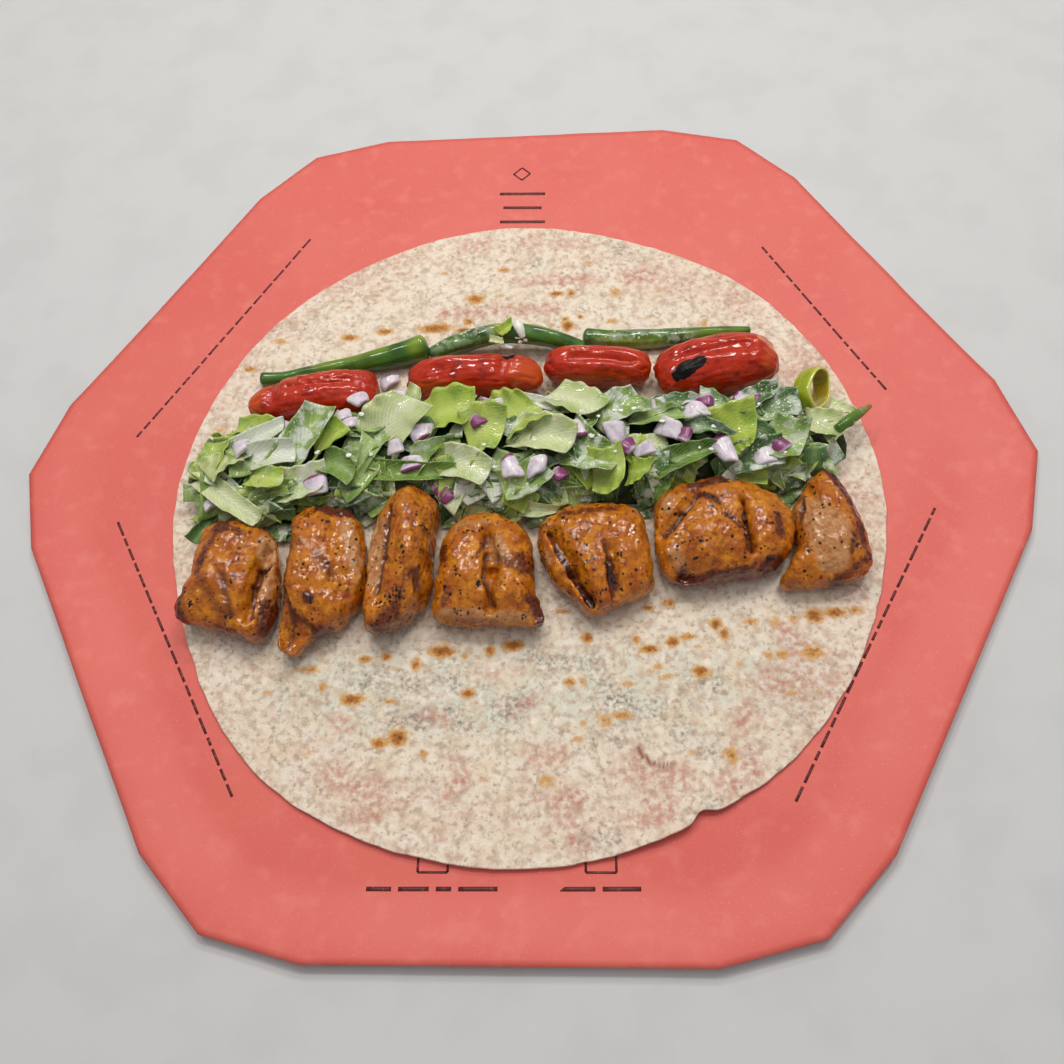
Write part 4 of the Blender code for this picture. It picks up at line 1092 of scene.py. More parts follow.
CUTS = (
    Cut(
        ((-126, -33), (-112, -31), (-99, -37), (-94.5, -50), (-93.5, -68), (-96, -80), (-104, -82),
         (-118, -76), (-133, -72), (-130, -54), (-129, -41)),
        19.0,
        (
            (-98, -46, -103, -75, 2.4, -4.5), (-118, -50, -115, -60, 10.0, 1.6),
            (-126, -40, -113, -48, 3.0, -1.8)
        ),
        ((-95, -51, -99, -54, 0.9, -1.4), (-99, -54, -101, -62, 0.9, -1.6), (-101, -62, -101, -75, 0.9, -1.6),
         (-113, -58, -108, -74, 2.2, -0.8), (-122, -60, -112, -74, 2.5, -0.6)),
        ((-96, -42, -95, -74, 3.8, 1.0), (-98, -40, -98, -47, 4.0, 0.9)),
        ((-118, -34, -124, -56, 2.6, 0.7), (-118, -35, -109, -39, 2.4, 0.7), (-96, -69, -96, -79, 3.0, 0.7),
         (-131, -60, -130, -74, 3.2, 0.7), (-115, -77, -105, -82, 2.6, 0.5)),
        ((-110, -49, -108, -49, 1.2, 1.0), (-109, -75, -109, -75, 1.4, 1.1), (-125, -69, -125, -71, 1.5, 1.0),
         (-128, -77, -124, -78, 1.4, 0.9), (-105, -57, -105, -57, 0.9, 1.0), (-98, -52, -99, -55, 0.7, 1.0)),
        75.0,
    ),
    Cut(
        ((-89, -28), (-77, -25), (-64, -30), (-59.8, -44), (-59.6, -65), (-67, -75), (-78, -82), (-84, -88),
         (-90, -84), (-90.3, -65), (-90.5, -44)),
        20.0,
        ((-84, -80, -88, -90, 7.0, -8.0), (-86, -38, -84, -68, 5.0, 1.5), (-71, -32, -67, -66, 3.0, -1.8)),
        ((-90, -62, -84, -76, 1.0, -1.0), (-76, -50, -70, -58, 3.0, -0.7), (-84, -74, -76, -79, 1.2, -1.0)),
        ((-67, -36, -61, -52, 3.4, 0.9), (-62, -46, -60, -62, 2.6, 0.6)),
        ((-79, -27, -66, -31, 2.6, 1.1), (-78, -68, -78, -68, 3.0, 1.0), (-76, -79, -71, -80, 2.4, 0.8),
         (-88, -40, -89, -70, 1.8, 0.6), (-84, -76, -87, -86, 2.0, 0.5)),
        ((-83, -31, -83, -32, 1.1, 1.0), (-83, -45, -84, -46, 1.2, 1.0), (-79, -68, -77, -69, 1.5, 1.0),
         (-73, -54, -73, -54, 1.0, 1.1), (-64, -64, -64, -64, 1.0, 1.1), (-69, -77, -69, -77, 1.1, 1.1),
         (-81, -90, -81, -90, 1.2, 1.0), (-81, -55, -79, -56, 0.9, 1.0), (-74, -35, -74, -36, 1.1, 1.0)),
        85.0,
    ),
    Cut(
        ((-48, -20), (-40, -17), (-31.5, -26), (-31.8, -44), (-33.2, -65), (-44, -77), (-53, -80),
         (-57.4, -75), (-57.6, -57), (-56.6, -37)),
        22.0,
        ((-43, -26, -38, -50, 5.5, 3.5), (-38, -50, -38, -72, 5.5, 3.0), (-53, -37, -52, -66, 5.0, -4.0)),
        ((-49, -30, -50, -52, 1.1, -1.4), (-50, -52, -52, -66, 1.1, -1.2), (-36, -60, -34, -70, 2.0, -1.2)),
        ((-54, -36, -55, -60, 4.0, 1.1),),
        ((-42, -29, -35, -50, 2.4, 0.4), (-46, -75, -52, -79, 3.4, 0.6), (-39, -60, -44, -72, 3.0, 0.5)),
        ((-34, -36, -34, -36, 1.1, 1.1), (-32, -40, -36, -41, 1.3, 1.1), (-41, -51, -41, -54, 1.4, 1.0),
         (-43, -66, -43, -69, 2.0, 1.2), (-51, -71, -46, -70, 2.0, 1.2), (-45, -76, -45, -76, 1.5, 1.1),
         (-51, -78, -50, -77, 1.3, 1.0), (-46, -80, -44, -80, 1.4, 1.0), (-32, -62, -32, -64, 1.3, 1.0),
         (-46, -47, -44, -49, 0.9, 1.0), (-36, -50, -35, -50, 1.0, 1.0)),
        78.0,
    ),
    Cut(
        ((-28, -39), (-20, -31), (-5, -30), (5, -38), (7.6, -49), (9.6, -64), (12, -76), (-1, -77),
         (-16, -76), (-30, -73), (-29.6, -55)),
        19.5,
        ((-10, -40, -7, -57, 2.2, -4.0), (-7, -57, -8, -72, 2.2, -4.0), (1, -60, 1, -62, 8.0, 2.0),
         (-20, -50, -20, -56, 8.0, 1.5), (11, -75, 13, -77, 6.0, -5.0)),
        ((-10, -41, -10, -46, 0.9, -1.0), (-10, -46, -13, -53, 0.8, -0.9), (-9, -50, -10, -61, 0.9, -1.2),
         (-10, -61, -7, -71, 0.9, -1.2), (-6, -52, 4, -58, 2.2, -0.8)),
        ((-6, -45, -4, -52, 4.4, 0.8), (-28, -74, 6, -76, 2.6, 1.0), (-24, -38, -12, -36, 3.4, 0.5)),
        ((4, -52, 6, -57, 3.6, 0.7), (8, -69, 12, -76, 3.0, 0.8), (-28, -46, -26, -52, 2.2, 0.7),
         (-24, -66, -26, -70, 2.6, 0.6)),
        ((-18, -41, -15, -41, 1.2, 1.0), (-6, -36, -6, -36, 1.0, 1.0), (-21, -57, -21, -60, 1.9, 1.1),
         (-20, -67, -17, -68, 1.2, 1.0), (-13, -62, -12, -64, 1.1, 1.0), (-21, -73, -21, -73, 1.4, 1.2),
         (5, -75, 5, -75, 1.3, 1.1), (10, -76, 10, -76, 1.6, 1.1), (-2, -65, -2, -65, 0.8, 1.1),
         (12, -69, 12, -71, 1.3, 1.0), (-27, -45, -26, -47, 1.1, 1.0)),
        60.0,
    ),
    Cut(
        ((12.5, -33), (25, -27), (41, -26.5), (52, -31), (54, -47), (54.4, -62), (44, -68), (31, -72.5),
         (24, -67), (13.8, -55), (10, -42)),
        20.0,
        ((16, -41, 25, -58, 2.2, -5.0), (25, -58, 31, -70, 2.2, -5.0), (39, -50, 40, -67, 2.4, -2.8),
         (46, -44, 46, -48, 8.0, 1.2)),
        ((15, -41, 18, -49, 0.8, -1.8), (18, -49, 25, -61, 0.8, -2.0), (25, -61, 31, -70, 0.8, -1.8),
         (36, -47, 38, -54, 1.0, -1.1), (38, -54, 39, -69, 1.0, -1.4)),
        ((13, -50, 15, -57, 2.4, 0.8), (48, -30, 52, -36, 3.0, 0.5), (41, -68, 50, -66, 2.4, 0.6)),
        ((38, -56, 40, -64, 2.4, 0.8), (20, -33, 40, -31, 2.6, 0.6), (17, -46, 31, -70, 1.0, 1.0)),
        ((27, -48, 29, -48, 1.2, 1.1), (20, -35, 24, -38, 0.9, 1.0), (23, -42, 25, -44, 0.9, 1.0),
         (29, -55, 29, -55, 1.1, 1.1), (32, -53, 33, -54, 1.3, 1.1), (35, -42, 35, -42, 1.0, 1.1),
         (37, -56, 40, -62, 1.5, 1.0), (42, -52, 42, -53, 1.2, 1.1), (34, -67, 34, -67, 1.0, 1.1),
         (42, -65, 42, -65, 1.0, 1.1), (30, -68, 31, -70, 1.4, 1.1)),
        70.0,
    ),
    Cut(
        ((58, -25), (69, -18), (84, -16), (100, -20), (110, -31), (109.5, -46), (101, -55.5), (87, -59),
         (66, -61), (57.6, -53), (56.2, -37)),
        20.5,
        ((59, -42, 73, -27, 2.4, -3.2), (91, -30, 92, -50, 2.2, -4.2), (78, -42, 80, -44, 9.0, 1.6),
         (101, -36, 101, -42, 5.0, 1.2), (66, -60, 68, -61, 5.0, -8.0)),
        ((60, -43, 67, -34, 0.9, -1.4), (67, -34, 73, -28, 0.9, -1.0), (91, -30, 91, -38, 0.9, -1.4),
         (91, -38, 92, -50, 0.9, -1.8), (83, -36, 88, -42, 1.2, -0.8)),
        ((61, -31, 62, -27, 3.4, 0.9), (63, -50, 66, -56, 3.2, 0.7), (76, -50, 86, -48, 4.0, 0.35),
         (66, -61, 96, -59, 1.6, 0.9)),
        ((71, -22, 84, -19, 2.6, 0.9), (74, -27, 80, -30, 2.4, 0.9), (98, -57, 103, -54, 3.0, 1.0),
         (104, -36, 104, -44, 2.4, 0.7), (60, -42, 68, -34, 1.4, 0.8), (72, -60, 92, -57, 1.6, 0.8),
         (66, -58, 70, -62, 3.0, 0.9)),
        ((76, -27, 79, -29, 1.6, 1.0), (84, -37, 88, -41, 1.4, 1.0), (78, -34, 78, -34, 1.1, 1.1),
         (67, -40, 67, -40, 0.9, 1.1), (71, -39, 71, -39, 0.9, 1.1), (73, -48, 73, -48, 0.9, 1.1),
         (67, -55, 67, -55, 0.9, 1.1), (86, -58, 86, -58, 1.4, 1.1), (91, -58, 91, -58, 1.3, 1.1),
         (99, -54, 103, -52, 1.7, 1.1), (104, -36, 105, -36, 1.3, 1.0), (100, -40, 101, -40, 1.1, 1.0),
         (83, -20, 86, -21, 1.3, 1.0), (91, -34, 92, -44, 0.8, 1.0), (66, -34, 66, -36, 1.0, 1.0)),
        55.0,
    ),
    Cut(
        ((125, -12), (133, -21), (138, -37), (139.5, -52), (135, -58), (120, -61.5), (105, -61),
         (112.5, -45), (113, -27)),
        17.5,
        ((121, -42, 123, -46, 9.0, 1.6), (117, -20, 120, -32, 2.4, -2.2)),
        ((116, -20, 114, -32, 1.0, -1.2), (114, -32, 112, -42, 1.0, -1.2)),
        ((118, -32, 122, -54, 6.0, 1.0), (127, -40, 124, -52, 5.0, 0.8), (112, -26, 110, -36, 3.0, 1.0)),
        ((127, -14, 134, -30, 2.6, 1.2), (134, -34, 137, -50, 2.2, 0.8), (136, -54, 124, -61, 2.0, 0.6),
         (132, -44, 130, -52, 2.0, 0.6)),
        ((128, -17, 132, -25, 1.7, 1.0), (114, -50, 114, -51, 1.1, 1.1), (112, -58, 112, -58, 1.0, 1.1),
         (112, -23, 112, -23, 0.9, 1.1), (131, -47, 133, -49, 1.3, 1.0), (108, -29, 108, -29, 0.9, 1.1)),
        100.0,
    ),
)


@dataclass
class GrilledChicken:
    """The seven pieces in front of the salad."""

    cuts: tuple[Cut, ...] = CUTS
    sides: int = 300
    rows: int = 120

    def piece(self, cut: Cut, number: int) -> Surface:
        """One piece: its lump, swollen and furrowed along its normals by noise and by the fibres of the meat.

        Args:
            cut: What is particular to the piece.
            number: Its number, which also picks its noise.

        Returns:
            Its surface with its colour values.
        """
        outline = counter_clockwise(smooth_line(cut.outline, self.sides, closed=True))
        grid, level = lump_grid(outline, cut.height, cut.strokes, MEAT, self.rows)
        x, y = grid[..., 0], grid[..., 1]
        top = smoothstep((level - 0.1) / 0.5)
        grooves = stroke_rise(x, y, cut.grooves) * top
        c, s = math.cos(math.radians(cut.grain)), math.sin(math.radians(cut.grain))
        strand = np.stack([(c * x + s * y) / 7.0, (c * y - s * x) / 1.2, grid[..., 2] / 2.4], axis=-1)
        relief = 0.75 * noise(grid, 7.5, 40 + number) + 0.4 * noise(grid, 3.2, 50 + number)
        relief += 0.2 * noise(grid, 1.3, 60 + number) + 0.3 * noise(strand, 1.0, 70 + number)
        relief += 0.9 * np.abs(noise(grid, 8.5, 75 + number))
        relief += 0.4 * np.abs(noise(grid, 3.6, 78 + number)) - 0.35
        settled = smoothstep((grid[..., 2] - TABLE) / 4.0)
        relief = np.where(grid[..., 2] > TABLE + 0.2, relief * settled, 0.0) + grooves
        grid = grid + grid_normals(grid) * relief[..., None]
        grid[..., 2] = np.maximum(grid[..., 2], TABLE)
        flank = smoothstep(1.0 - (grid[..., 2] - TABLE) / 7.0)
        rim = 0.3 * smoothstep(1.0 - level / 0.5) * (1 - flank)
        values = {
            "pale": np.clip(stroke_rise(x, y, cut.pale) * top + 0.45 * flank, 0.0, 1.0),
            "browned": stroke_share(x, y, cut.browned, 1.2) + rim,
            "char": np.clip(stroke_rise(x, y, cut.char) * top, 0.0, 1.3),
            # painted shade in the grooves, stronger the deeper they sink
            "crease": np.clip(-1.1 * grooves - 0.15, 0.0, 0.85),
        }
        return closed_lump(grid, values)

    def build(self) -> list[Object]:
        """All pieces, left to right."""
        meat = GlazedChicken(
            "glazed_grilled_chicken", rough=0.5, index=1.3, coat=1.0, coat_rough=0.035,
            soft=0.12, soft_reach=2.0, soft_colour=(1.0, 0.35, 0.15),
        ).material()
        return [
            make_piece(f"grilled_chicken_{k}", self.piece(cut, k), meat, [f"chicken_{k}"])
            for k, cut in enumerate(self.cuts, 1)
        ]


@dataclass(frozen=True)
class Tomato:
    """One tomato: centre, half-length and half-width, turn, taper, height, and where its colour differs."""

    x: float
    y: float
    length: float
    width: float
    turn: float
    taper: float
    height: float
    strokes: tuple[Stroke, ...]
    orange: tuple[Stroke, ...] = ()
    flesh: tuple[Stroke, ...] = ()
    char: tuple[Stroke, ...] = ()
    peel: tuple[Stroke, ...] = ()


TOMATOES = (
    Tomato(
        -89.0, 30.0, 29.0, 10.8, 7.0, 0.24, 19.0, (
            (-106, 26, -106, 34, 3.0, -2.5), (-98, 30, -72, 33, 2.2, -1.5)
        ),
        ((-114, 24, -112, 34, 5.0, 1.2), (-100, 40, -84, 42, 3.0, 0.5)), ((-96, 34, -68, 36, 9.0, 1.0),),
    ),
    Tomato(
        -18.5, 38.0, 29.5, 9.6, 1.0, 0.0, 20.0, ((-34, 41, -8, 41, 3.0, 1.0), (-6, 33, -4, 45, 2.4, -1.4)),
        ((2, 36, 9, 38, 6.0, 1.2), (-44, 32, -20, 29, 3.0, 0.8)), (), ((-4, 43, -2, 44, 1.8, 1.0),),
    ),
    Tomato(
        35.5, 42.5, 23.0, 8.8, -4.0, 0.0, 18.5, ((24, 42, 50, 40, 2.0, -1.8),),
        ((20, 36, 48, 34, 2.4, 0.6), (54, 42, 57, 40, 3.0, 0.7)), (), ((34, 30, 37, 30, 1.2, 1.0),),
    ),
    Tomato(
        86.0, 40.5, 26.2, 13.0, 10.0, 0.0, 22.0, ((70, 38, 98, 44, 2.4, -1.6), (102, 36, 104, 48, 3.0, 1.0)),
        ((106, 36, 110, 46, 3.5, 0.8), (70, 49, 100, 55, 3.0, 0.5)), (),
        ((68.5, 31, 72, 32.5, 2.3, 1.2), (71, 33.5, 78.5, 36, 2.4, 1.2), (72, 31.5, 77, 34, 2.0, 1.2)),
        ((105, 48, 110, 46, 2.2, 1.1),),
    ),
)


@dataclass
class GrilledTomatoes:
    """The four tomatoes behind the salad."""

    fruits: tuple[Tomato, ...] = TOMATOES
    square: float = 3.0
    sides: int = 280
    rows: int = 110

    def outline(self, fruit: Tomato, count: int) -> Array:
        """The tomato's outline from above."""
        return oval(
            (fruit.x, fruit.y), (fruit.length, fruit.width), fruit.turn, self.square, count, fruit.taper
        )

    def piece(self, fruit: Tomato, number: int) -> Surface:
        """One tomato: its lump with wrinkles of loose skin that run along it and crowd at its ends."""
        grid, level = lump_grid(
            self.outline(fruit, self.sides), fruit.height, fruit.strokes, FRUIT, self.rows
        )
        x, y, z = grid[..., 0], grid[..., 1], grid[..., 2]
        c, s = math.cos(math.radians(fruit.turn)), math.sin(math.radians(fruit.turn))
        along, across = c * (x - fruit.x) + s * (y - fruit.y), c * (y - fruit.y) - s * (x - fruit.x)
        bend = across + 0.03 * along**2 / fruit.width
        skin = np.stack([along / 13.0, bend / 2.6, z / 3.2], axis=-1)
        fine = np.stack([along / 6.0, bend / 1.2, z / 1.6], axis=-1)
        loose = 0.55 + 0.45 * np.abs(along) / fruit.length
        relief = (0.42 * noise(skin, 1.0, 80 + number) + 0.15 * noise(fine, 1.0, 90 + number)) * loose
        relief += 0.75 * noise(grid, 11.0, 100 + number) + 0.3 * noise(grid, 4.2, 103 + number)
        relief += (0.55 * np.abs(noise(1.3 * skin, 1.0, 105 + number)) - 0.18) * loose
        flesh = stroke_share(x, y, fruit.flesh) * smoothstep(level / 0.5)
        relief += flesh * (0.45 * noise(grid, 2.4, 110 + number) + 0.2 * noise(grid, 1.1, 115 + number))
        relief = np.where(z > TABLE + 0.2, relief * smoothstep((z - TABLE) / 4.0), 0.0)
        grid = grid + grid_normals(grid) * relief[..., None]
        grid[..., 2] = np.maximum(grid[..., 2], TABLE)
        low = smoothstep(1.0 - (z - TABLE) / 8.0)
        values = {
            "orange": np.clip(stroke_rise(x, y, fruit.orange) + 0.45 * low, 0.0, 1.2),
            "flesh": flesh,
            "char": stroke_share(x, y, fruit.char, 1.2) * smoothstep(level / 0.3),
            "peel": stroke_share(x, y, fruit.peel, 1.2) * smoothstep(level / 0.3),
        }
        return closed_lump(grid, values)

    def build(self) -> list[Object]:
        """All tomatoes, left to right."""
        skin = GrilledTomato(
            "grilled_ripe_tomato", rough=0.45, index=1.3, coat=0.8, coat_rough=0.04,
            soft=0.15, soft_reach=2.0, soft_colour=(1.0, 0.2, 0.08),
        ).material()
        return [
            make_piece(f"grilled_tomato_{k}", self.piece(fruit, k), skin, [f"tomato_{k}"])
            for k, fruit in enumerate(self.fruits, 1)
        ]


# Peppers, the pickled ring and the chilli: tubes


@dataclass(frozen=True)
class Tube:
    """A tube along a smooth line: points over the bread and the radius at each."""

    points: tuple
    radii: tuple[float, ...]
    pale: tuple[Stroke, ...] = ()
    sauce: tuple[Stroke, ...] = ()

    def surface(self, steps: int, sides: int, seed: int) -> Surface:
        """The tube's rings, closed by rounded ends, with low lengthwise folds.

        Args:
            steps: Rings along it.
            sides: Points round it.
            seed: Number that picks its noise.

        Returns:
            Its surface with its colour values.
        """
        knots = np.column_stack([np.asarray(self.points, float), self.radii])
        line = smooth_line(knots, steps)
        path, size = line[:, :3] + (0.0, 0.0, TABLE), line[:, 3]
        ahead = np.gradient(path, axis=0)
        ahead /= np.linalg.norm(ahead, axis=1, keepdims=True)
        caps = np.sin(np.radians(np.linspace(8.0, 90.0, 10)))[:, None]
        start = path[0] - 0.55 * size[0] * ahead[0] * np.sqrt(1.0 - caps**2)
        stop = path[-1] + 0.55 * size[-1] * ahead[-1] * np.sqrt(1.0 - caps[::-1] ** 2)
        path = np.vstack([start[:-1], path, stop[1:]])
        size = np.concatenate([size[0] * caps[:-1, 0], size, size[-1] * caps[::-1][1:, 0]])
        ahead = np.vstack([np.repeat(ahead[:1], 9, axis=0), ahead, np.repeat(ahead[-1:], 9, axis=0)])
        beside = np.cross(ahead, (0.0, 0.0, 1.0))
        beside /= np.linalg.norm(beside, axis=1, keepdims=True)
        over = np.cross(beside, ahead)
        angles = np.linspace(0.0, 2.0 * math.pi, sides, endpoint=False)
        run = np.concatenate([[0.0], np.cumsum(np.linalg.norm(np.diff(path, axis=0), axis=1))])[:, None]
        around = np.stack(
            np.broadcast_arrays(run / 14.0, np.cos(angles) * 1.6, np.sin(angles) * 1.6), axis=-1
        )
        swell = 1.0 + 0.08 * noise(around, 1.0, seed) + 0.035 * noise(around * 2.2, 1.0, seed + 1)
        reach = size[:, None] * swell
        grid = (
            path[:, None]
            + (reach * np.cos(angles))[..., None] * beside[:, None]
            + (reach * np.sin(angles))[..., None] * over[:, None]
        )
        x, y = grid[..., 0], grid[..., 1]
        upper = smoothstep(np.sin(angles) * 0.8 + 0.5)[None, :] * np.ones_like(run)
        values = {
            "along": np.broadcast_to(run / 8.0, x.shape), "around": np.broadcast_to(
                np.sin(angles) * 2.4, x.shape
            ),
            "pale": stroke_share(x, y, self.pale),
            "sauce": stroke_share(x, y, self.sauce) * upper,
            "cut": np.zeros(x.shape),
        }
        return capped(grid, values)


PEPPERS = (
    Tube(
        (
            (-115, 44, 3.4), (-105, 45.5, 2.8), (-92, 48, 3.4), (-72, 51, 4.4), (-55, 54, 5.4),
            (-43.5, 57.5, 6.0)
        ),
        (3.4, 2.9, 3.2, 4.2, 5.2, 5.8), ((-90, 49, -60, 56, 3.0, 0.6), (-46, 55, -44, 60, 3.0, 0.8)),
        ((-92, 50, -90, 50, 1.4, 1.0),),
    ),
    Tube(
        ((-38, 55, 4.0), (-27, 58.5, 6.5), (-8, 61.5, 9.5), (12, 60, 8.0), (28, 56, 4.0)),
        (3.8, 4.4, 4.6, 4.4, 3.6), ((-10, 56, -8, 64, 2.0, 0.9),), ((-34, 58, -14, 62, 5.0, 0.8),),
    ),
    Tube(
        ((31, 62, 4.2), (42, 60.5, 4.3), (58, 60, 4.3), (74, 61, 4.0), (90, 63, 3.2), (103, 64.5, 2.2)),
        (3.9, 4.2, 4.2, 3.9, 3.0, 1.9),
        ((36, 57, 62, 56, 2.4, 0.7), (76, 60, 100, 63, 2.0, 0.4)), ((34, 60, 76, 58, 3.4, 0.9),),
    ),
)


@dataclass
class GreenPeppers:
    """The three peppers behind the tomatoes."""

    tubes: tuple[Tube, ...] = PEPPERS
    steps: int = 150
    sides: int = 64

    def build(self) -> list[Object]:
        """All peppers, left to right."""
        skin = PepperSkin(
            "grilled_green_pepper", rough=0.42, index=1.38, coat=0.7, coat_rough=0.06, soft=0.1
        ).material()
        return [
            make_piece(
                f"green_pepper_{k}", tube.surface(self.steps, self.sides, 130 + k), skin,
                [f"pepper_{k}"]
            )
            for k, tube in enumerate(self.tubes, 1)
        ]


@dataclass
class PickledRing:
    """The pickled pepper ring: a band round an oval hole, leaning back on the leaves."""

    centre: Triple = (125.5, 27.3, 9.6)
    half: tuple[float, float] = (9.6, 7.0)
    band: tuple[float, float] = (0.8, 4.3)
    lean: float = 48.0
    turn: float = 67.0

    def build(self) -> list[Object]:
        """The band: an oval path with a blunt section, closed on itself."""
        turns = np.linspace(0.0, 2.0 * math.pi, 160, endpoint=False)[:, None]
        section = np.linspace(0.0, 2.0 * math.pi, 40, endpoint=False)[None, :]
        blunt = [signed_power(wave, 0.5) for wave in (np.cos(section), np.sin(section))]
        reach = self.band[0] * blunt[0] * (1.0 + 0.15 * np.sin(3 * turns + 1.0))
        bulge = 0.5 * blunt[1] ** 2 + 0.18 * np.sin(5 * turns)
        x = (self.half[0] + reach - bulge) * np.cos(turns)
        y = (self.half[1] + reach - bulge) * np.sin(turns)
        z = self.band[1] * blunt[1] * (1.0 + 0.05 * np.sin(2 * turns)) + 0.25 * np.sin(3 * turns)
        grid = np.stack(np.broadcast_arrays(x, y, z), axis=-1)
        rim = np.broadcast_to(np.abs(blunt[1]) ** 6, x.shape)
        inner = np.broadcast_to(smoothstep(-2.0 * blunt[0]), x.shape)
        grid = turned(turned(grid.reshape(-1, 3), 0.0, 0.0, self.lean), self.turn, 0.0, 0.0).reshape(
            grid.shape
        )
        grid = grid + np.array(self.centre) + (0.0, 0.0, TABLE)
        rings, sides = grid.shape[:2]
        index = np.arange(rings * sides).reshape(rings, sides)
        ahead, beside = np.roll(index, -1, axis=0), np.roll(index, -1, axis=1)
        quads = np.stack([index, ahead, np.roll(ahead, -1, axis=1), beside], axis=-1).reshape(-1, 4)
        values = {"rim": rim.ravel(), "inner": inner.ravel()}
        surface = Surface(grid.reshape(-1, 3), quads, np.zeros((0, 3), int), values).outward()
        flesh = PickledPepper(
            "pickled_yellow_green_pepper", rough=0.2, coat=0.8, coat_rough=0.06, soft=0.3, soft_reach=1.5,
            soft_colour=(0.8, 1.0, 0.2),
        ).material()
        return [make_piece("pickled_ring", surface, flesh, ["pickled_pepper_ring"])]


@dataclass
class ChilliTip:
    """The tip of a green chilli across the salad's right end."""

    tube: Tube = Tube(
        ((133, 6, 12.5), (138, 10, 12.0), (143.5, 14.5, 10.5), (148.5, 18.5, 9.0)), (2.0, 2.4, 2.0, 0.9),
        ((145, 16, 149, 19, 2.5, 0.8),), ((144, 15, 145, 16, 1.2, 0.9),),
    )

    def build(self) -> list[Object]:
        """The tip."""
        skin = PepperSkin(
            "fresh_green_chilli", rough=0.3, coat=0.7, coat_rough=0.08, soft=0.1,
            base="557A22", dark="3A5E1C", light="8C7A20",
        ).material()
        return [make_piece("chilli_end", self.tube.surface(60, 36, 150), skin, ["chilli_tip"])]


# The salad


class LeafKind(Enum):
    """Kinds of cut lettuce, from the heart of the head to its outside."""

    RIB = "rib"
    PALE = "pale"
    LIME = "lime"
    MID = "mid"
    DARK = "dark"


LETTUCE = {
    LeafKind.RIB: ("D3D6C4", "C3CDA8", "E2E4D8", "B7C48F"),
    LeafKind.PALE: ("B9C582", "D2D39A", "D9DDB4", "93AE52"),
    LeafKind.LIME: ("8FAE2C", "B3C24C", "C2D070", "6A8C1A"),
    LeafKind.MID: ("64852E", "86A44A", "A9BD74", "44661E"),
    LeafKind.DARK: ("33552A", "4A7034", "7F9C62", "1F3A1A"),
}


@dataclass(frozen=True)
class Leaf:
    """One cut leaf: place, size, pose, cup, kind and how much dressing is on it."""

    x: float
    y: float
    length: float
    width: float
    turn: float
    pitch: float
    roll: float
    cup: float
    kind: LeafKind
    film: float = 0.0
    raised: float = 0.0  # over where it would lie on the heap


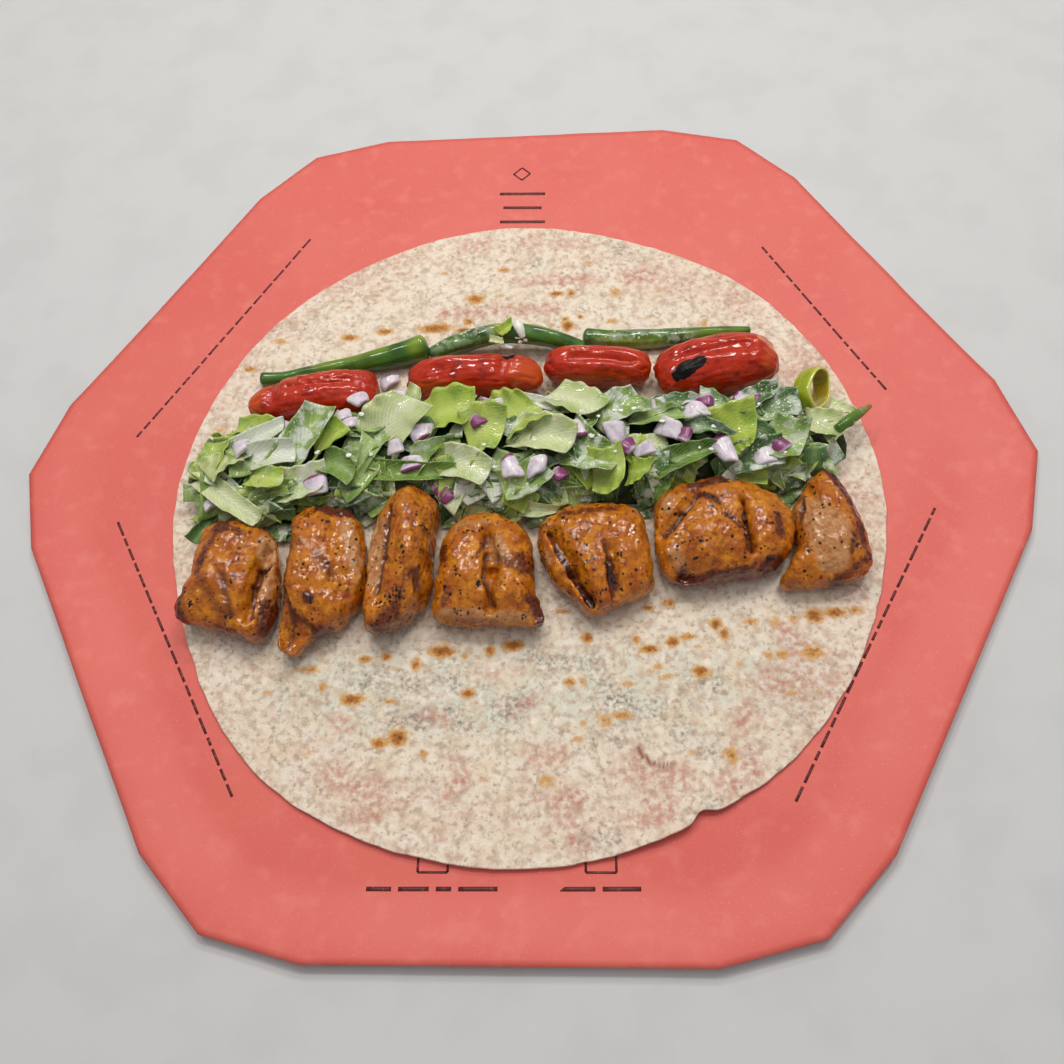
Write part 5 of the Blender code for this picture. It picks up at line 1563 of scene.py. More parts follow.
R, P, L, M, D = LeafKind.RIB, LeafKind.PALE, LeafKind.LIME, LeafKind.MID, LeafKind.DARK
LEAVES = tuple(
    Leaf(*row)
    for row in (
        (-118, -21, 42, 13, -38, 6, 8, 2.0, P, 0.1), (-121, -8, 17, 13, 20, 10, -14, 2.0, P, 0.0),
        (-109, 5, 26, 11, 24, 12, 6, 1.5, R, 0.2), (-101, -4, 20, 12, 8, 4, 14, 2.5, R, 0.1),
        (-89, 4, 32, 15, 55, 16, 12, 3.0, M, 0.9), (-77, 3, 18, 14, 30, 18, -8, 3.0, L, 0.0),
        (-102, -14, 16, 11, -15, 14, 0, 2.5, L, 0.2), (-87, -15, 20, 15, 10, 12, 10, 2.5, P, 0.6),
        (-73, -11, 18, 12, -30, 8, 14, 2.0, M, 0.1), (-128, -4, 18, 12, 70, 8, -10, 2.0, L, 0.1),
        (-112, 12, 20, 12, -12, 8, -12, 2.0, L, 0.1), (-70, 12, 20, 12, -22, 6, -10, 2.0, M, 0.5),
        (-50, 8, 28, 24, 48, 24, 8, 2.5, P, 0.1), (-44, 18, 20, 12, 74, 30, 0, 2.0, P, 0.0),
        (-29, 12, 24, 24, 18, 16, -10, 4.0, L, 0.0), (-47, -10.5, 46, 10, -6, 4, 18, 2.5, M, 0.0),
        (-57, 18, 18, 12, 12, 8, -12, 2.0, M, 0.4), (-34, -4, 18, 14, 30, 10, 10, 2.0, M, 0.5),
        (-12, 2, 17, 26, 10, 18, 6, 3.0, L, 0.1), (-20, -12, 22, 15, -24, 12, 12, 2.5, P, 0.7),
        (2, 13, 18, 27, 12, 20, -6, 4.0, L, 0.0), (8, 21, 22, 10, -20, 10, -10, 2.0, R, 0.0),
        (12, 1, 26, 17, -18, 14, 10, 3.0, P, 0.2), (24, 20, 24, 17, -34, 14, -8, 2.0, P, 0.1),
        (43, 13, 22, 17, 25, 16, -6, 3.0, M, 0.8), (30, -4, 28, 25, -38, 18, 12, 3.5, M, 0.9),
        (4, -16, 20, 14, 24, 10, 14, 2.5, M, 0.6), (38, -13, 14, 20, 5, 20, 10, 2.5, L, 0.1),
        (50, -14, 11, 15, -12, 34, 8, 1.5, L, 0.0), (60, 12, 24, 16, -10, 12, -8, 2.5, M, 0.2),
        (91, 2.5, 15.5, 23, 12, 24, 6, 4.0, L, 0.0), (71, -8, 24, 12, 14, 10, 12, 2.5, M, 0.1),
        (77, 3, 22, 15, -20, 12, 6, 2.5, D, 0.4), (100, 19, 22, 14, 30, 12, -10, 2.5, D, 0.8),
        (85, 14, 20, 13, -30, 10, -8, 2.0, D, 0.8), (109, 13, 20, 15, 22, 14, 0, 2.5, D, 0.7),
        (110, 1, 18, 20, -25, 16, 8, 3.0, M, 0.5), (98, -8, 22, 14, 8, 10, 14, 3.0, D, 0.9),
        (128, 10, 16, 14, -18, 12, 8, 1.5, P, 0.0), (134, 6, 13, 12, 20, 8, 6, 1.5, P, 0.0),
        (66, 16, 20, 12, 8, 10, -14, 2.0, D, 0.5), (138.5, 19, 17, 13, -24, 4, -4, 1.2, P, 0.0, 3.5),
        (-56, -27, 12, 11, 80, 8, 22, 2.5, M, 0.3, 3.0), (-92, -38, 15, 8, 82, -12, 6, 1.2, P, 0.0, 8.0),
        (-30.4, -31, 16, 7, 86, 14, 0, 1.5, M, 0.2, 6.0), (-129.5, -31, 17, 8, 62, -6, 14, 3.0, D, 0.0, 3.2),
        (-122, -28, 15, 9, 38, 2, 20, 2.6, M, 0.0, 3.0), (54, -27, 13, 8, 78, 12, 10, 2.0, L, 0.0, 6.0),
        (121, -12, 18, 7, 4, 0, 12, 3.0, R, 0.1, 3.0), (102, -18, 18, 10, -14, 2, 24, 2.6, D, 0.7, 1.5),
        (-5, 60, 8, 6, 40, 4, 6, 1.2, L, 0.0, 13.0), (-9, 55, 7, 5, -20, 6, 0, 1.0, P, 0.3, 10.5),
        (-36, -22, 13, 8, -30, 8, 24, 1.6, M, 0.5, 0.5), (10, -27, 22, 10, -8, 4, 34, 2.2, P, 0.2, 0.5),
        (-10, -26, 20, 10, 12, 6, 30, 2.0, M, 0.5, 0.5), (34, -22, 20, 11, 10, 4, 30, 2.2, L, 0.2, 0.5),
        (70, -17, 22, 9, 12, 4, 30, 2.0, M, 0.3, 0.5), (-78, -24, 20, 9, -8, 6, 26, 2.0, L, 0.1, 0.5),
        (-48, -19, 18, 11, -20, 4, 26, 2.4, M, 0.1, 0.2), (-57, -22, 14, 11, 30, 6, 22, 3.0, M, 0.2, 0.2),
        (87, -15, 20, 10, 10, 4, 24, 2.2, D, 0.5, 0.2), (97, -14, 16, 11, -24, 6, 20, 2.2, L, 0.1, 0.0),
        (-66, -21, 16, 10, 8, 4, 26, 2.0, D, 0.3, 0.0), (58, -19, 16, 10, -16, 4, 26, 2.0, M, 0.5, 0.0),
    )
)

# Red onion dice: x, y, length, width, thickness, turn, share of magenta, and the height of those off the heap
DICE = (
    (-104, 14, 10, 5, 3.0, 20, 0.3), (-99, 13, 9, 5, 3.0, 70, 0.2), (-114, -1, 7, 6, 3.0, 10, 0.0),
    (-87, 12, 11, 5, 3.0, 80, 0.1), (-82, -18, 11, 8, 3.0, 12, 0.5), (-65, 18, 8, 7, 3.0, 30, 0.1),
    (-53, 21, 8, 7, 3.0, 50, 0.3), (-70, 10, 9, 4, 3.0, 20, 0.2), (-38, 4, 10, 7, 3.5, 15, 0.5),
    (-49, -3, 7, 6, 3.0, 0, 0.0), (-42, -9, 10, 6, 3.0, 8, 0.6), (-28, -20, 8, 9, 3.5, 30, 1.0),
    (-11, 17, 7, 8, 3.5, 10, 1.0), (-14, 9, 8, 6, 3.0, 40, 1.0), (-7, 15, 6, 9, 3.0, 14, 0.2),
    (25, 3, 8, 7, 3.0, 25, 0.6), (42, 1, 8, 10, 3.5, 15, 0.2), (47, -5, 7, 6, 3.0, 40, 1.0),
    (53, -7, 9, 5, 3.0, 30, 0.2), (-1, -13, 8, 10, 3.5, 20, 0.5), (19, -16, 6, 6, 3.0, 45, 1.0),
    (9, -13, 9, 8, 3.0, 0, 0.0), (75, 12, 11, 8, 3.5, 10, 0.2), (63, 3, 12, 8, 3.5, -25, 0.2),
    (68, 0, 8, 6, 3.0, -20, 1.0), (85, -6, 8, 13, 3.0, 25, 0.6), (95, 21, 10, 6, 3.0, 60, 0.6),
    (103, 20, 7, 6, 3.0, 30, 1.0), (108, -4, 7, 7, 3.0, 50, 1.0), (79, 17, 7, 5, 3.0, 15, 0.9),
    (-127, -23, 5, 4, 3.0, 30, 0.0), (60, 16, 6, 5, 2.6, 10, 0.0), (101, -9, 9, 7, 3.0, 20, 0.0),
    (107, -22, 7, 6, 3.0, 10, 0.0),
    (-107.8, 19.0, 12, 7, 2.6, 35, 0.25, 16),
    (-89.5, 17.2, 10, 6, 2.6, 75, 0.2, 19),
    (-65.8, 22.6, 8, 7, 2.6, 40, 0.3, 19),
    (-52.2, 30.9, 9, 7, 2.6, 20, 0.2, 16),
    (-57.6, 42.0, 9, 5, 2.6, 15, 0.4, 4),
    (-72.1, 13.6, 8, 5, 2.6, 25, 0.1, 20),
)


@dataclass
class Heap:
    """The heap that the leaves lie on: stations (x, front y, back y, height) and leaf-sized bumps."""

    stations: tuple = (
        (-138, -12, 4, 6.0), (-130, -24, 12, 12.0), (-114, -29, 15, 15.0), (-98, -30, 15, 16.0),
        (-90, -26, 15, 16.5), (-77, -23, 16, 17.0), (-62, -25, 19, 17.0), (-52, -20, 24, 17.0),
        (-46, -16, 25, 17.0), (-38, -14, 25, 17.0), (-30, -19, 25, 17.0), (-24, -27, 25, 17.0),
        (-5, -28, 26, 17.0), (8, -29, 27, 17.0), (25, -25, 30, 17.0), (50, -24, 28, 17.0),
        (58, -20, 25, 17.0), (69, -15, 24, 17.0), (86, -13, 24, 16.0), (100, -17, 24, 15.0),
        (109, -20, 21, 14.0), (117, -12, 18, 12.0), (130, -7, 15, 9.0), (141, 0, 11, 5.0),
    )
    crown: float = 2.4
    bump_count: int = 46
    bump_rise: float = 2.2
    seed: int = 7
    sink: float = 4.2  # how far the dark inside lies under the leaves
    inner_share: float = 0.88  # of the heap's width that it takes
    inner_grid: tuple[int, int] = (260, 60)
    crumple: float = 1.1  # height of its creases

    def bumps(self) -> list[Stroke]:
        """Bumps of leaf size, as strokes without length."""
        draw = np.random.default_rng(self.seed)
        x = draw.uniform(-130, 135, self.bump_count)
        y = draw.uniform(-16, 20, self.bump_count)
        size = draw.uniform(5.0, 10.0, self.bump_count)
        rise = draw.uniform(-self.bump_rise, self.bump_rise, self.bump_count)
        return list(zip(x, y, x, y, size, rise))

    def across(self, x: Array) -> tuple[Array, Array, Array]:
        """Front line, back line and height of the heap at x, read between the stations."""
        table = np.array(self.stations, float)
        front, back, height = (np.interp(x, table[:, 0], table[:, k]) for k in (1, 2, 3))
        return front, back, height

    def top(self, x: Array, y: Array) -> Array:
        """Height of the heap over (x, y): a rounded arch from its front line to its back line, and bumps."""
        front, back, height = self.across(x)
        share = np.clip(np.abs(y - (front + back) / 2) / ((back - front) / 2), 0.0, 1.0)
        arch = (1.0 - share**self.crown) ** (1.0 / self.crown)
        return TABLE + height * arch + stroke_rise(x, y, self.bumps()) * smoothstep(arch / 0.7)

    def core(self) -> Surface:
        """The heap's inside, dark with painted shade: arches over a flat foot, a little lower than the
        leaves.
        """
        x = np.linspace(self.stations[0][0] + 3, self.stations[-1][0] - 3, self.inner_grid[0])
        front, back, _ = self.across(x)
        angles = np.linspace(math.pi, 0.0, self.inner_grid[1])
        share = signed_power(np.cos(angles), 2.0 / self.crown)
        half = self.inner_share * (back - front)[:, None] / 2
        y = (front + back)[:, None] / 2 + half * share[None, :]
        along = np.broadcast_to(x[:, None], y.shape)
        z = self.top(along, y) - self.sink
        z += self.crumple * rough_noise(np.stack([along, y], axis=-1), 7.0, 3, 160)
        z = np.maximum(z, TABLE + 0.4)
        foot = np.stack([along[:, [-1, 0]], y[:, [-1, 0]], np.full((len(x), 2), TABLE)], axis=-1)
        grid = np.concatenate([np.stack([along, y, z], axis=-1), foot], axis=1)
        return ring_surface(grid, grid[0].mean(axis=0) - (1, 0, 0), grid[-1].mean(axis=0) + (1, 0, 0))


@dataclass(frozen=True)
class Neighbour:
    """A lump beside the salad, which its leaves stay out of."""

    outline: Array
    height: float
    form: LumpForm
    gap: float = 0.5  # that a leaf keeps from it

    def hit(self, points: Array) -> bool:
        """Whether a point lies inside the outline and under the lump's rounded top."""
        low, high = self.outline.min(axis=0), self.outline.max(axis=0)
        near = np.all((points[:, :2] > low) & (points[:, :2] < high), axis=1)
        within = points[near][inside(points[near], self.outline)]
        middle = self.outline.mean(axis=0)
        rim, off = self.outline - middle, within[:, :2] - middle
        around = np.arctan2(rim[:, 1], rim[:, 0])
        order = np.argsort(around)
        toward = np.arctan2(off[:, 1], off[:, 0])
        reach = np.interp(toward, around[order], np.hypot(*rim[order].T), period=2 * math.pi)
        share = np.clip(np.hypot(*off.T) / reach, 0.0, 1.0)
        arch = (1.0 - share**self.form.crown) ** (1.0 / self.form.crown)
        top = TABLE + self.height * (self.form.belly + (1.0 - self.form.belly) * arch)
        return bool(np.any(within[:, 2] < top + self.gap))


PLAN = (300, 90)  # square millimetres of the salad's plan, along X and Y
CORNER = (-150.0, -45.0)  # its corner


def cells(points: Array) -> tuple[Array, Array]:
    """The square millimetre of the salad's plan that each point is over, as two indices."""
    x, y = (np.clip(points[:, k] - CORNER[k], 0, PLAN[k] - 1).astype(int) for k in (0, 1))
    return x, y


@dataclass
class Salad:
    """The strip of dressed lettuce and red onion."""

    heap: Heap = field(default_factory=Heap)
    thick: float = 0.5  # of a leaf
    lift: float = 3.0  # of the leaves that show most over the heap's top
    fillers: int = 480
    seed: int = 19
    rib_thick: float = 1.3  # of a piece of rib
    rib_rise: float = 0.3  # of a leaf's middle vein, above and below
    large: tuple[int, int] = (26, 18)  # points along and across a leaf that shows most
    small: tuple[int, int] = (14, 10)  # and the others
    spread: float = 1.1  # of the small leaves over and under the heap's top
    drop: float = 1.2  # of a small leaf that doesn't fit higher
    square: float = 0.36  # power that makes a ball into a blunt block of onion
    flat: float = 0.7  # share of its thickness in the table that an onion piece keeps
    onion_lift: float = 3.3  # of its underside over the heap's top, before it is lowered
    clear: float = 0.1  # least height of a piece over the bread
    steepest: float = 72.0  # slope that a small leaf follows
    press: float = 0.4  # of the onion into the leaves under it
    poke: float = 0.35  # share of a small leaf that counts as just its tip
    high: Array = field(default_factory=lambda: np.full(PLAN, TABLE))  # top of the leaves over each cell

    def sheet(
        self, leaf: Leaf, number: int, rows: int, columns: int, scale: float
    ) -> tuple[Array, dict[str, Array]]:
        """The middle sheet of a cut leaf, lying flat.

        It is a strip or patch with two slanted ends that narrows along its length and bows to one side.
        Across, it is cupped as a parabola and folded at its rib; along, it droops and twists; its outer
        edges ruffle.

        Args:
            leaf: Its size, cup and kind.
            number: Picks its slants, bow and waves.
            rows: Points along it.
            columns: Points across it.
            scale: Share of its size that fits between its neighbours.

        Returns:
            Its points, and the numbers that colour it.
        """
        draw = np.random.default_rng(1000 + number)
        along, across = np.meshgrid(np.linspace(-1, 1, rows), np.linspace(-1, 1, columns), indexing="ij")
        length, width = leaf.length * scale, leaf.width * scale
        taper = draw.choice((0.1, 0.3, 0.5, 0.9), p=(0.35, 0.3, 0.2, 0.15))
        slant = draw.uniform(-0.45, 0.45, 2)
        lean = slant[0] * (1 - along) / 2 + slant[1] * (1 + along) / 2
        narrow = 1.0 - taper * (along + 1) / 2 - 0.05 * along**2
        x = 0.5 * length * along + 0.5 * width * lean * across
        y = 0.5 * width * across * narrow + 0.16 * width * draw.uniform(-1, 1) * (1 - along**2)
        places = np.stack([x, y, np.full_like(x, number * 3.7)], axis=-1)
        y = y + 0.35 * noise(places, 3.0, 171) * np.abs(across) ** 4
        phase = draw.uniform(0.0, 6.28)
        soft = 0.15 if leaf.kind is LeafKind.RIB else 1.0
        size = min(length, width) / 14.0
        z = leaf.cup * scale * (across**2 - 0.35) + draw.uniform(-0.4, 1.6) * size * (np.abs(across) - 0.5)
        z -= draw.uniform(0.4, 2.2) * (length / 20.0) * along**2
        z += draw.uniform(-1.3, 1.3) * size * along * across
        z += soft * 0.6 * size * np.sin(3.0 * math.pi * along + phase) * np.abs(across) ** 3
        z += soft * (0.5 * noise(places, 7.5, 172) + 0.22 * noise(places, 3.0, 170))
        rib = np.exp(-((across / 0.12) ** 2)) * draw.choice((0.0, 1.0), p=(0.4, 0.6))
        edge = np.minimum(1 - np.abs(along), 1 - np.abs(across)) * 0.5 * min(length, width)
        pale = draw.uniform(0, 0.9) * np.exp(-((across / 0.5) ** 2))
        pale += draw.uniform(-0.2, 0.7) * (1 - along) / 2
        values = {
            "along": along * length / 20.0, "across": across * width / 14.0, "rib": 0.85 * rib,
            "rim": 0.45 * smoothstep(1.0 - edge / 0.5), "tint": np.full_like(x, draw.uniform(0.0, 0.8)),
            "pale": np.clip(pale, 0.0, 0.8), "film": np.full_like(x, leaf.film),
        }
        return np.stack([x, y, z], axis=-1), values

    def leaf(
        self, leaf: Leaf, number: int, grid: tuple[int, int], scale: float, slope: float, lift: float
    ) -> Surface:
        """One cut leaf as a thin slab, thicker at its rib, laid on the heap.

        Args:
            leaf: Its place, size and pose.
            number: Picks its waves.
            grid: Points along and across.
            scale: Share of its size that fits.
            slope: Angle of the heap under it, towards the back.
            lift: Distance of its middle from the heap.

        Returns:
            Its surface with its colour values.
        """
        sheet, values = self.sheet(leaf, number, *grid, scale)
        thick = self.rib_thick if leaf.kind is LeafKind.RIB else self.thick
        half = thick / 2 + self.rib_rise * values["rib"]
        up = np.array([0.0, 0.0, 1.0])
        surface = slab_surface(sheet + half[..., None] * up, sheet - half[..., None] * up, values)
        laid = turned(surface.points, leaf.turn, -leaf.pitch, leaf.roll)
        height = self.heap.top(np.array([leaf.x]), np.array([leaf.y]))[0] + leaf.raised
        tilt = math.radians(slope)
        surface.points = turned(laid, 0.0, 0.0, slope) + (
            leaf.x, leaf.y - lift * math.sin(tilt), height + lift * math.cos(tilt)
        )
        surface.points[:, 2] += np.clip(TABLE + 0.25 - surface.points[:, 2].min(), 0.0, 6.0)
        return surface

    def slope(self, x: float, y: float) -> float:
        """Angle of the heap's surface along Y."""
        ends = self.heap.top(np.array([x, x]), np.array([y - 0.5, y + 0.5]))
        slope = 0.9 * np.degrees(np.arctan(ends[1] - ends[0]))
        return float(np.clip(slope, -self.steepest, self.steepest))

    def neighbours(self) -> list[Neighbour]:
        """The chicken, the tomatoes and the pickled ring."""
        rims = [counter_clockwise(smooth_line(cut.outline, 48, closed=True)) for cut in CUTS]
        meat = [Neighbour(rim, cut.height, MEAT) for rim, cut in zip(rims, CUTS)]
        fruit = [Neighbour(GrilledTomatoes().outline(one, 48), one.height, FRUIT) for one in TOMATOES]
        ring = Neighbour(oval(PickledRing.centre[:2], (8.4, 9.6), 0.0, 2.0, 32, 0.0), 17.0, MEAT)
        return [*meat, *fruit, ring]

    def fits(self, surface: Surface, neighbours: Sequence[Neighbour]) -> bool:
        """Whether a piece stays over the bread and out of its neighbours."""
        if surface.points[:, 2].min() < TABLE + self.clear:
            return False
        return not any(one.hit(surface.points) for one in neighbours)

    def random_leaves(self) -> list[Leaf]:
        """The small leaves between and under the others, spread over the heap's arch by chance."""
        draw = np.random.default_rng(self.seed)
        kinds = list(LeafKind)
        made = []
        for _ in range(self.fillers):
            x = draw.uniform(-134.0, 126.0)
            front, back, _ = self.heap.across(np.array([x]))
            low, high = ((118.0, 180.0), (40.0, 118.0), (6.0, 40.0))[draw.choice(3, p=(0.58, 0.26, 0.16))]
            wave = math.cos(math.radians(draw.uniform(low, high)))
            share = math.copysign(abs(wave) ** (2.0 / self.heap.crown), wave) * (1.1 if wave < -0.9 else 1.0)
            y = (front[0] + back[0]) / 2 + share * (back[0] - front[0]) / 2
            shares = (0.06, 0.12, 0.2, 0.32, 0.3) if x > 20 else (0.08, 0.18, 0.24, 0.3, 0.2)
            kind = kinds[draw.choice(5, p=shares)]
            size = (draw.uniform(10, 21), draw.uniform(8, 13))
            pose = (draw.uniform(0, 360), draw.uniform(-10, 10), draw.uniform(-12, 12))
            cup, film = draw.uniform(0.3, 1.6), draw.choice((0.0, 0.0, 0.3, 0.7))
            made.append(Leaf(x, y, *size, *pose, cup, kind, film))
        return made

    def dice(self, row: tuple, number: int) -> Surface:
        """A cut square of onion: a blunt block, bent as the bulb's layer was, with uneven corners."""
        x, y, length, width, thick, turn, skin, *placed = row
        thick = self.flat * thick
        draw = np.random.default_rng(2000 + number)
        levels = np.radians(np.linspace(-80, 80, 15))[:, None]
        angles = np.linspace(0.0, 2.0 * math.pi, 40, endpoint=False)[None, :]
        ring = np.cos(levels) ** self.square
        flat_x = signed_power(np.cos(angles), self.square) * ring
        flat_y = signed_power(np.sin(angles), self.square) * ring
        flat_z = signed_power(np.sin(levels), self.square) * np.ones_like(angles)
        lean = draw.uniform(-0.3, 0.3, 4)
        bend = 0.7 * thick * flat_x**2 * (length / 8.0)
        along = 0.5 * length * (flat_x + lean[0] * flat_x * flat_y)
        across = 0.5 * width * (flat_y * (1 + lean[3] * flat_x) + lean[1] * flat_x)
        up = 0.5 * thick * flat_z * (1.0 + lean[2] * flat_x) - bend
        grid = np.stack([along, across, up], axis=-1)
        grid = grid + 0.14 * noise(grid + 17.0 * number, 2.2, 175)[..., None]
        side = flat_y * draw.choice((-1.0, 1.0))
        magenta = np.clip(smoothstep((side - 0.35) / 0.5) * skin * 1.6, 0.0, 1.0)
        if skin > 0.8:
            magenta = 0.55 + 0.45 * smoothstep(flat_z + side)
        surface = capped(grid, {"skin": magenta})
        pose = draw.uniform(-14.0, 14.0, 2)
        surface.points = turned(surface.points, turn, 0.4 * turn - 12 + pose[0], 10 - 0.3 * turn + pose[1])
        on_heap = self.heap.top(np.array([x]), np.array([y]))[0] + thick / 2 + self.onion_lift
        height = placed[0] + TABLE if placed else on_heap
        surface.points = surface.points + (x, y, height)
        return surface

    def crosses(self, surface: Surface, roof: Array) -> bool:
        """Whether just a tip of a leaf pokes through the large leaves, whose undersides are the roof."""
        gap = surface.points[:, 2] - roof[cells(surface.points)]
        gap = gap[np.isfinite(gap)]
        return bool(gap.size and gap.min() < -0.3 and 0.0 < np.mean(gap > 0.0) < self.poke)

    def rested(self, surface: Surface, neighbours: Sequence[Neighbour]) -> Surface:
        """A piece lowered until it presses into the leaves under it, or as far as its neighbours let it."""
        gap = max((surface.points[:, 2] - self.high[cells(surface.points)]).min() + self.press, 0.0)
        for share in (1.0, 0.7, 0.4):
            surface.points[:, 2] -= share * gap
            if self.fits(surface, neighbours):
                break
            surface.points[:, 2] += share * gap
        return surface

    def build(self) -> list[Object]:
        """The inside of the heap, one piece for each kind of leaf, and the onion."""
        neighbours = self.neighbours()
        groups: dict[LeafKind, list[Surface]] = {kind: [] for kind in LeafKind}
        roof = np.full(PLAN, np.inf)
        for number, leaf in enumerate(LEAVES):
            tries = (
                self.leaf(leaf, number, self.large, scale, 0.0, self.lift) for scale in (1.0, 0.88, 0.76)
            )
            fitting = next((one for one in tries if self.fits(one, neighbours)), None)
            if fitting is not None:
                groups[leaf.kind].append(fitting)
                np.minimum.at(roof, cells(fitting.points), fitting.points[:, 2])
                np.maximum.at(self.high, cells(fitting.points), fitting.points[:, 2])
        stack = np.random.default_rng(self.seed + 1).uniform(-self.spread, self.spread, self.fillers)
        for k, leaf in enumerate(self.random_leaves()):
            slope = self.slope(leaf.x, leaf.y)
            tries = (
                self.leaf(leaf, len(LEAVES) + k, self.small, scale, slope, stack[k] - drop)
                for scale in (1.0, 0.8, 0.6)
                for drop in (0.0, self.drop)
            )
            clear = (one for one in tries if self.fits(one, neighbours) and not self.crosses(one, roof))
            fitting = next(clear, None)
            if fitting is not None:
                groups[leaf.kind].append(fitting)
                np.maximum.at(self.high, cells(fitting.points), fitting.points[:, 2])
        log.info("%d leaves lie clear of what is beside them", sum(len(group) for group in groups.values()))
        # painted shade: the near-black greens of the heap's inside stand for the shade between and under the
        # leaves
        inner = PlainFood(
            "deep_lettuce_painted_shade", rough=0.5, base="1D2C12", other="33491B", patch=5.0, grain=2.0, depth=0.4
        ).material()
        pieces = [make_piece("salad_core", self.heap.core(), inner, ["salad"])]
        for kind, surfaces in groups.items():
            base, other, vein, shade = LETTUCE[kind]
            finish = LettuceFinish(
                f"{kind.value}_romaine_lettuce", rough=0.42, index=1.38, coat=0.35, coat_rough=0.08,
                soft=0.25, soft_reach=1.0, soft_colour=(0.6, 1.0, 0.3),
                base=base, other=other, vein=vein, shade=shade,
            )
            pieces.append(make_piece(f"lettuce_{kind.value}", merged(surfaces), finish.material()))
        onion = OnionFlesh(
            "diced_red_onion", rough=0.35, coat=0.3, coat_rough=0.06,
            soft=0.35, soft_reach=1.8, soft_colour=(1.0, 0.75, 0.9),
        ).material()
        cubes = [
            one for one in (self.dice(row, k) for k, row in enumerate(DICE)) if self.fits(one, neighbours)
        ]
        cubes = [self.rested(one, neighbours) for one in cubes]
        pieces.append(make_piece("onion_dice", merged(cubes), onion))
        return pieces


@dataclass
class Dressing:
    """White dressing: the streak across the middle pepper and the drops on the leaves."""

    under: Array  # top of the leaves over each cell
    heap: Heap = field(default_factory=Heap)
    blobs: tuple = (
        (-0.8, 62.0, 15.0, 2.6, 1.6, 0.9), (2.4, 61.0, 14.6, 1.8, 2.2, 1.0), (0.4, 58.6, 14.4, 1.6, 1.8, 1.0),
        (3.4, 57.2, 13.2, 1.3, 1.5, 0.9), (-2.4, 60.0, 14.8, 1.3, 1.0, 0.7), (1.2, 56.2, 13.0, 0.9, 1.1, 0.8),
        (-5.5, 54.5, 12.0, 3.2, 1.5, 0.9), (4.2, 59.6, 13.6, 0.8, 1.0, 0.7),
    )
    drip: Tube = Tube(
        ((-1.2, 63.6, 13.4), (0.4, 61.5, 14.6), (1.6, 59.0, 14.2), (2.6, 56.8, 12.8)),
        (1.4, 2.3, 2.0, 1.3),
    )
    drops: int = 46
    seed: int = 23

    def blob(self, centre: Sequence[float], half: Sequence[float], number: int) -> Surface:
        """A smooth uneven drop: an ellipsoid swollen by noise."""
        levels = np.radians(np.linspace(-82, 82, 14))[:, None]
        angles = np.linspace(0.0, 2.0 * math.pi, 22, endpoint=False)[None, :]
        ring, height = np.cos(levels), np.sin(levels) * np.ones_like(angles)
        unit = np.stack([ring * np.cos(angles), ring * np.sin(angles), height], axis=-1)
        swell = 1.0 + 0.4 * noise(unit + 9.0 * number, 0.9, 180)
        grid = unit * swell[..., None] * np.asarray(half) + np.asarray(centre)
        return capped(grid)

    def build(self) -> list[Object]:
        """All drops as one piece."""
        draw = np.random.default_rng(self.seed)
        drip = self.drip.surface(60, 30, 182)
        drip.values = {}
        surfaces = [drip, *(self.blob(row[:3], row[3:], k) for k, row in enumerate(self.blobs))]
        x = draw.uniform(-118.0, 116.0, self.drops)
        front, back, _ = self.heap.across(x)
        y = front + (back - front) * draw.uniform(0.2, 0.85, self.drops)
        z = self.under[cells(np.stack([x, y], axis=-1))]
        size = draw.uniform(0.5, 1.4, self.drops)
        for k in range(self.drops):
            surfaces.append(self.blob((x[k], y[k], z[k]), (size[k], 0.75 * size[k], 0.35 * size[k]), 20 + k))
        sauce = PlainFood(
            "thin_white_dressing", rough=0.25, coat=0.5, soft=0.3, soft_reach=1.0,
            soft_colour=(1.0, 0.95, 0.85), base="EFEFE6", other="DFE2D2", patch=2.0, depth=0.1,
        ).material()
        return [make_piece("white_dressing", merged(surfaces), sauce)]


# Floor, light and camera


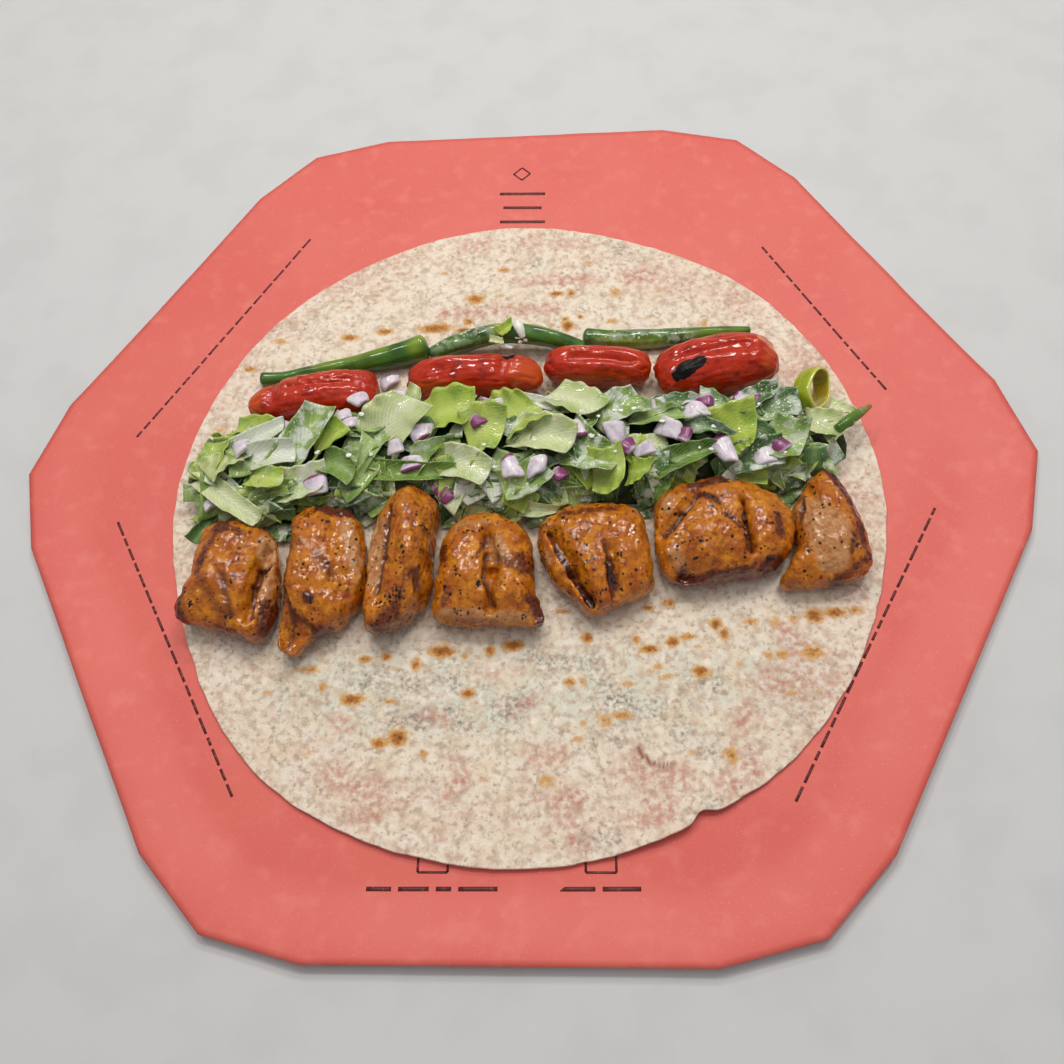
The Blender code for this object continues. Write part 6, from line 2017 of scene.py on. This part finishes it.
@dataclass
class Studio:
    """The pale floor, the soft lights and the camera at the photograph's angle."""

    focal: float = 32.68
    sensor: float = 36.0
    eye: Triple = (31.43, -206.09, 360.90)
    azimuth: float = 8.08
    elevation: float = 63.943
    roll: float = -8.29
    floor_half: float = 3000.0

    def camera(self) -> Object:
        """The camera: its back points along azimuth and elevation, and its sides are turned by roll."""
        az, el, roll = (math.radians(v) for v in (self.azimuth, self.elevation, self.roll))
        back = Vector((math.sin(az) * math.cos(el), -math.cos(az) * math.cos(el), math.sin(el)))
        right = Vector((0, 0, 1)).cross(back).normalized()
        up = back.cross(right)
        c, s = math.cos(roll), math.sin(roll)
        side, top = c * right + s * up, c * up - s * right
        lens = bpy.data.cameras.new("photo_camera")
        lens.lens, lens.sensor_width, lens.sensor_fit = self.focal, self.sensor, "HORIZONTAL"
        lens.clip_start, lens.clip_end = 0.01, 20.0
        holder = bpy.data.objects.new("photo_camera", lens)
        holder.matrix_world = Matrix((side, top, back)).transposed().to_4x4()
        holder.location = Vector(self.eye) * MM
        bpy.context.scene.collection.objects.link(holder)
        bpy.context.scene.camera = holder
        return holder

    def light(
        self, name: str, place: Triple, size: float, watts: float, warm: str, mirrored: bool = False
    ) -> None:
        """A square area light that faces the food; only the mirrored ones show as glints on wet surfaces."""
        lamp = bpy.data.lights.new(name, "AREA")
        lamp.shape, lamp.size, lamp.energy, lamp.color = "SQUARE", size * MM, watts, linear(warm)[:3]
        holder = bpy.data.objects.new(name, lamp)
        holder.location = Vector(place) * MM
        holder.rotation_euler = (-Vector(place)).to_track_quat("-Z", "Y").to_euler()
        holder.visible_glossy = mirrored
        bpy.context.scene.collection.objects.link(holder)

    def floor(self) -> None:
        """The pale floor, just under the sheet."""
        half, low = self.floor_half * MM, -0.05 * MM
        mesh = bpy.data.meshes.new("studio_floor")
        corners = [(x, y, low) for x, y in ((-half, -half), (half, -half), (half, half), (-half, half))]
        mesh.from_pydata(corners, [], [(0, 1, 2, 3)])
        finish = PlainFood(
            "pale_matt_floor", rough=0.75, base="CCCCCC", other="C8C8C8", patch=30.0, depth=0.02
        )
        mesh.materials.append(finish.material())
        ground = bpy.data.objects.new("studio_floor", mesh)
        bpy.context.scene.collection.objects.link(ground)

    def build(self) -> None:
        """Floor, lights, sky and camera."""
        self.floor()
        self.light("top_light", (0.0, 100.0, 1300.0), 900.0, 4.2, "FFFFFF")
        self.light("front_fill", (250.0, -900.0, 700.0), 900.0, 0.6, "F4F8FF")
        spots = ((-460, 400), (-70, 480), (330, 380), (-250, 850), (200, 900), (540, 700))
        for number, (x, y) in enumerate(spots, 1):
            self.light(f"ceiling_panel_{number}", (x, y, 1100.0), 130.0, 1.9, "FFFCF6", mirrored=True)
        world = bpy.data.worlds.new("studio_sky")
        world.use_nodes = True
        world.node_tree.nodes["Background"].inputs["Color"].default_value = linear("F4F4F4")
        world.node_tree.nodes["Background"].inputs["Strength"].default_value = 0.26
        bpy.context.scene.world = world
        self.camera()


def main() -> None:
    """Builds every part in order."""
    logging.basicConfig(level=logging.INFO, format="%(name)s: %(message)s")
    sheet, salad = WrappingSheet(), Salad()
    parts = (
        sheet, PrintedMarks(sheet), Flatbread(), GrilledChicken(), GrilledTomatoes(), GreenPeppers(), salad,
        Dressing(salad.high), PickledRing(), ChilliTip(),
    )
    for part in parts:
        made = part.build()
        log.info("%s: %d pieces", type(part).__name__, len(made))
    Studio().build()
    bpy.context.scene.view_settings.view_transform = "Standard"


if __name__ == "__main__":
    main()
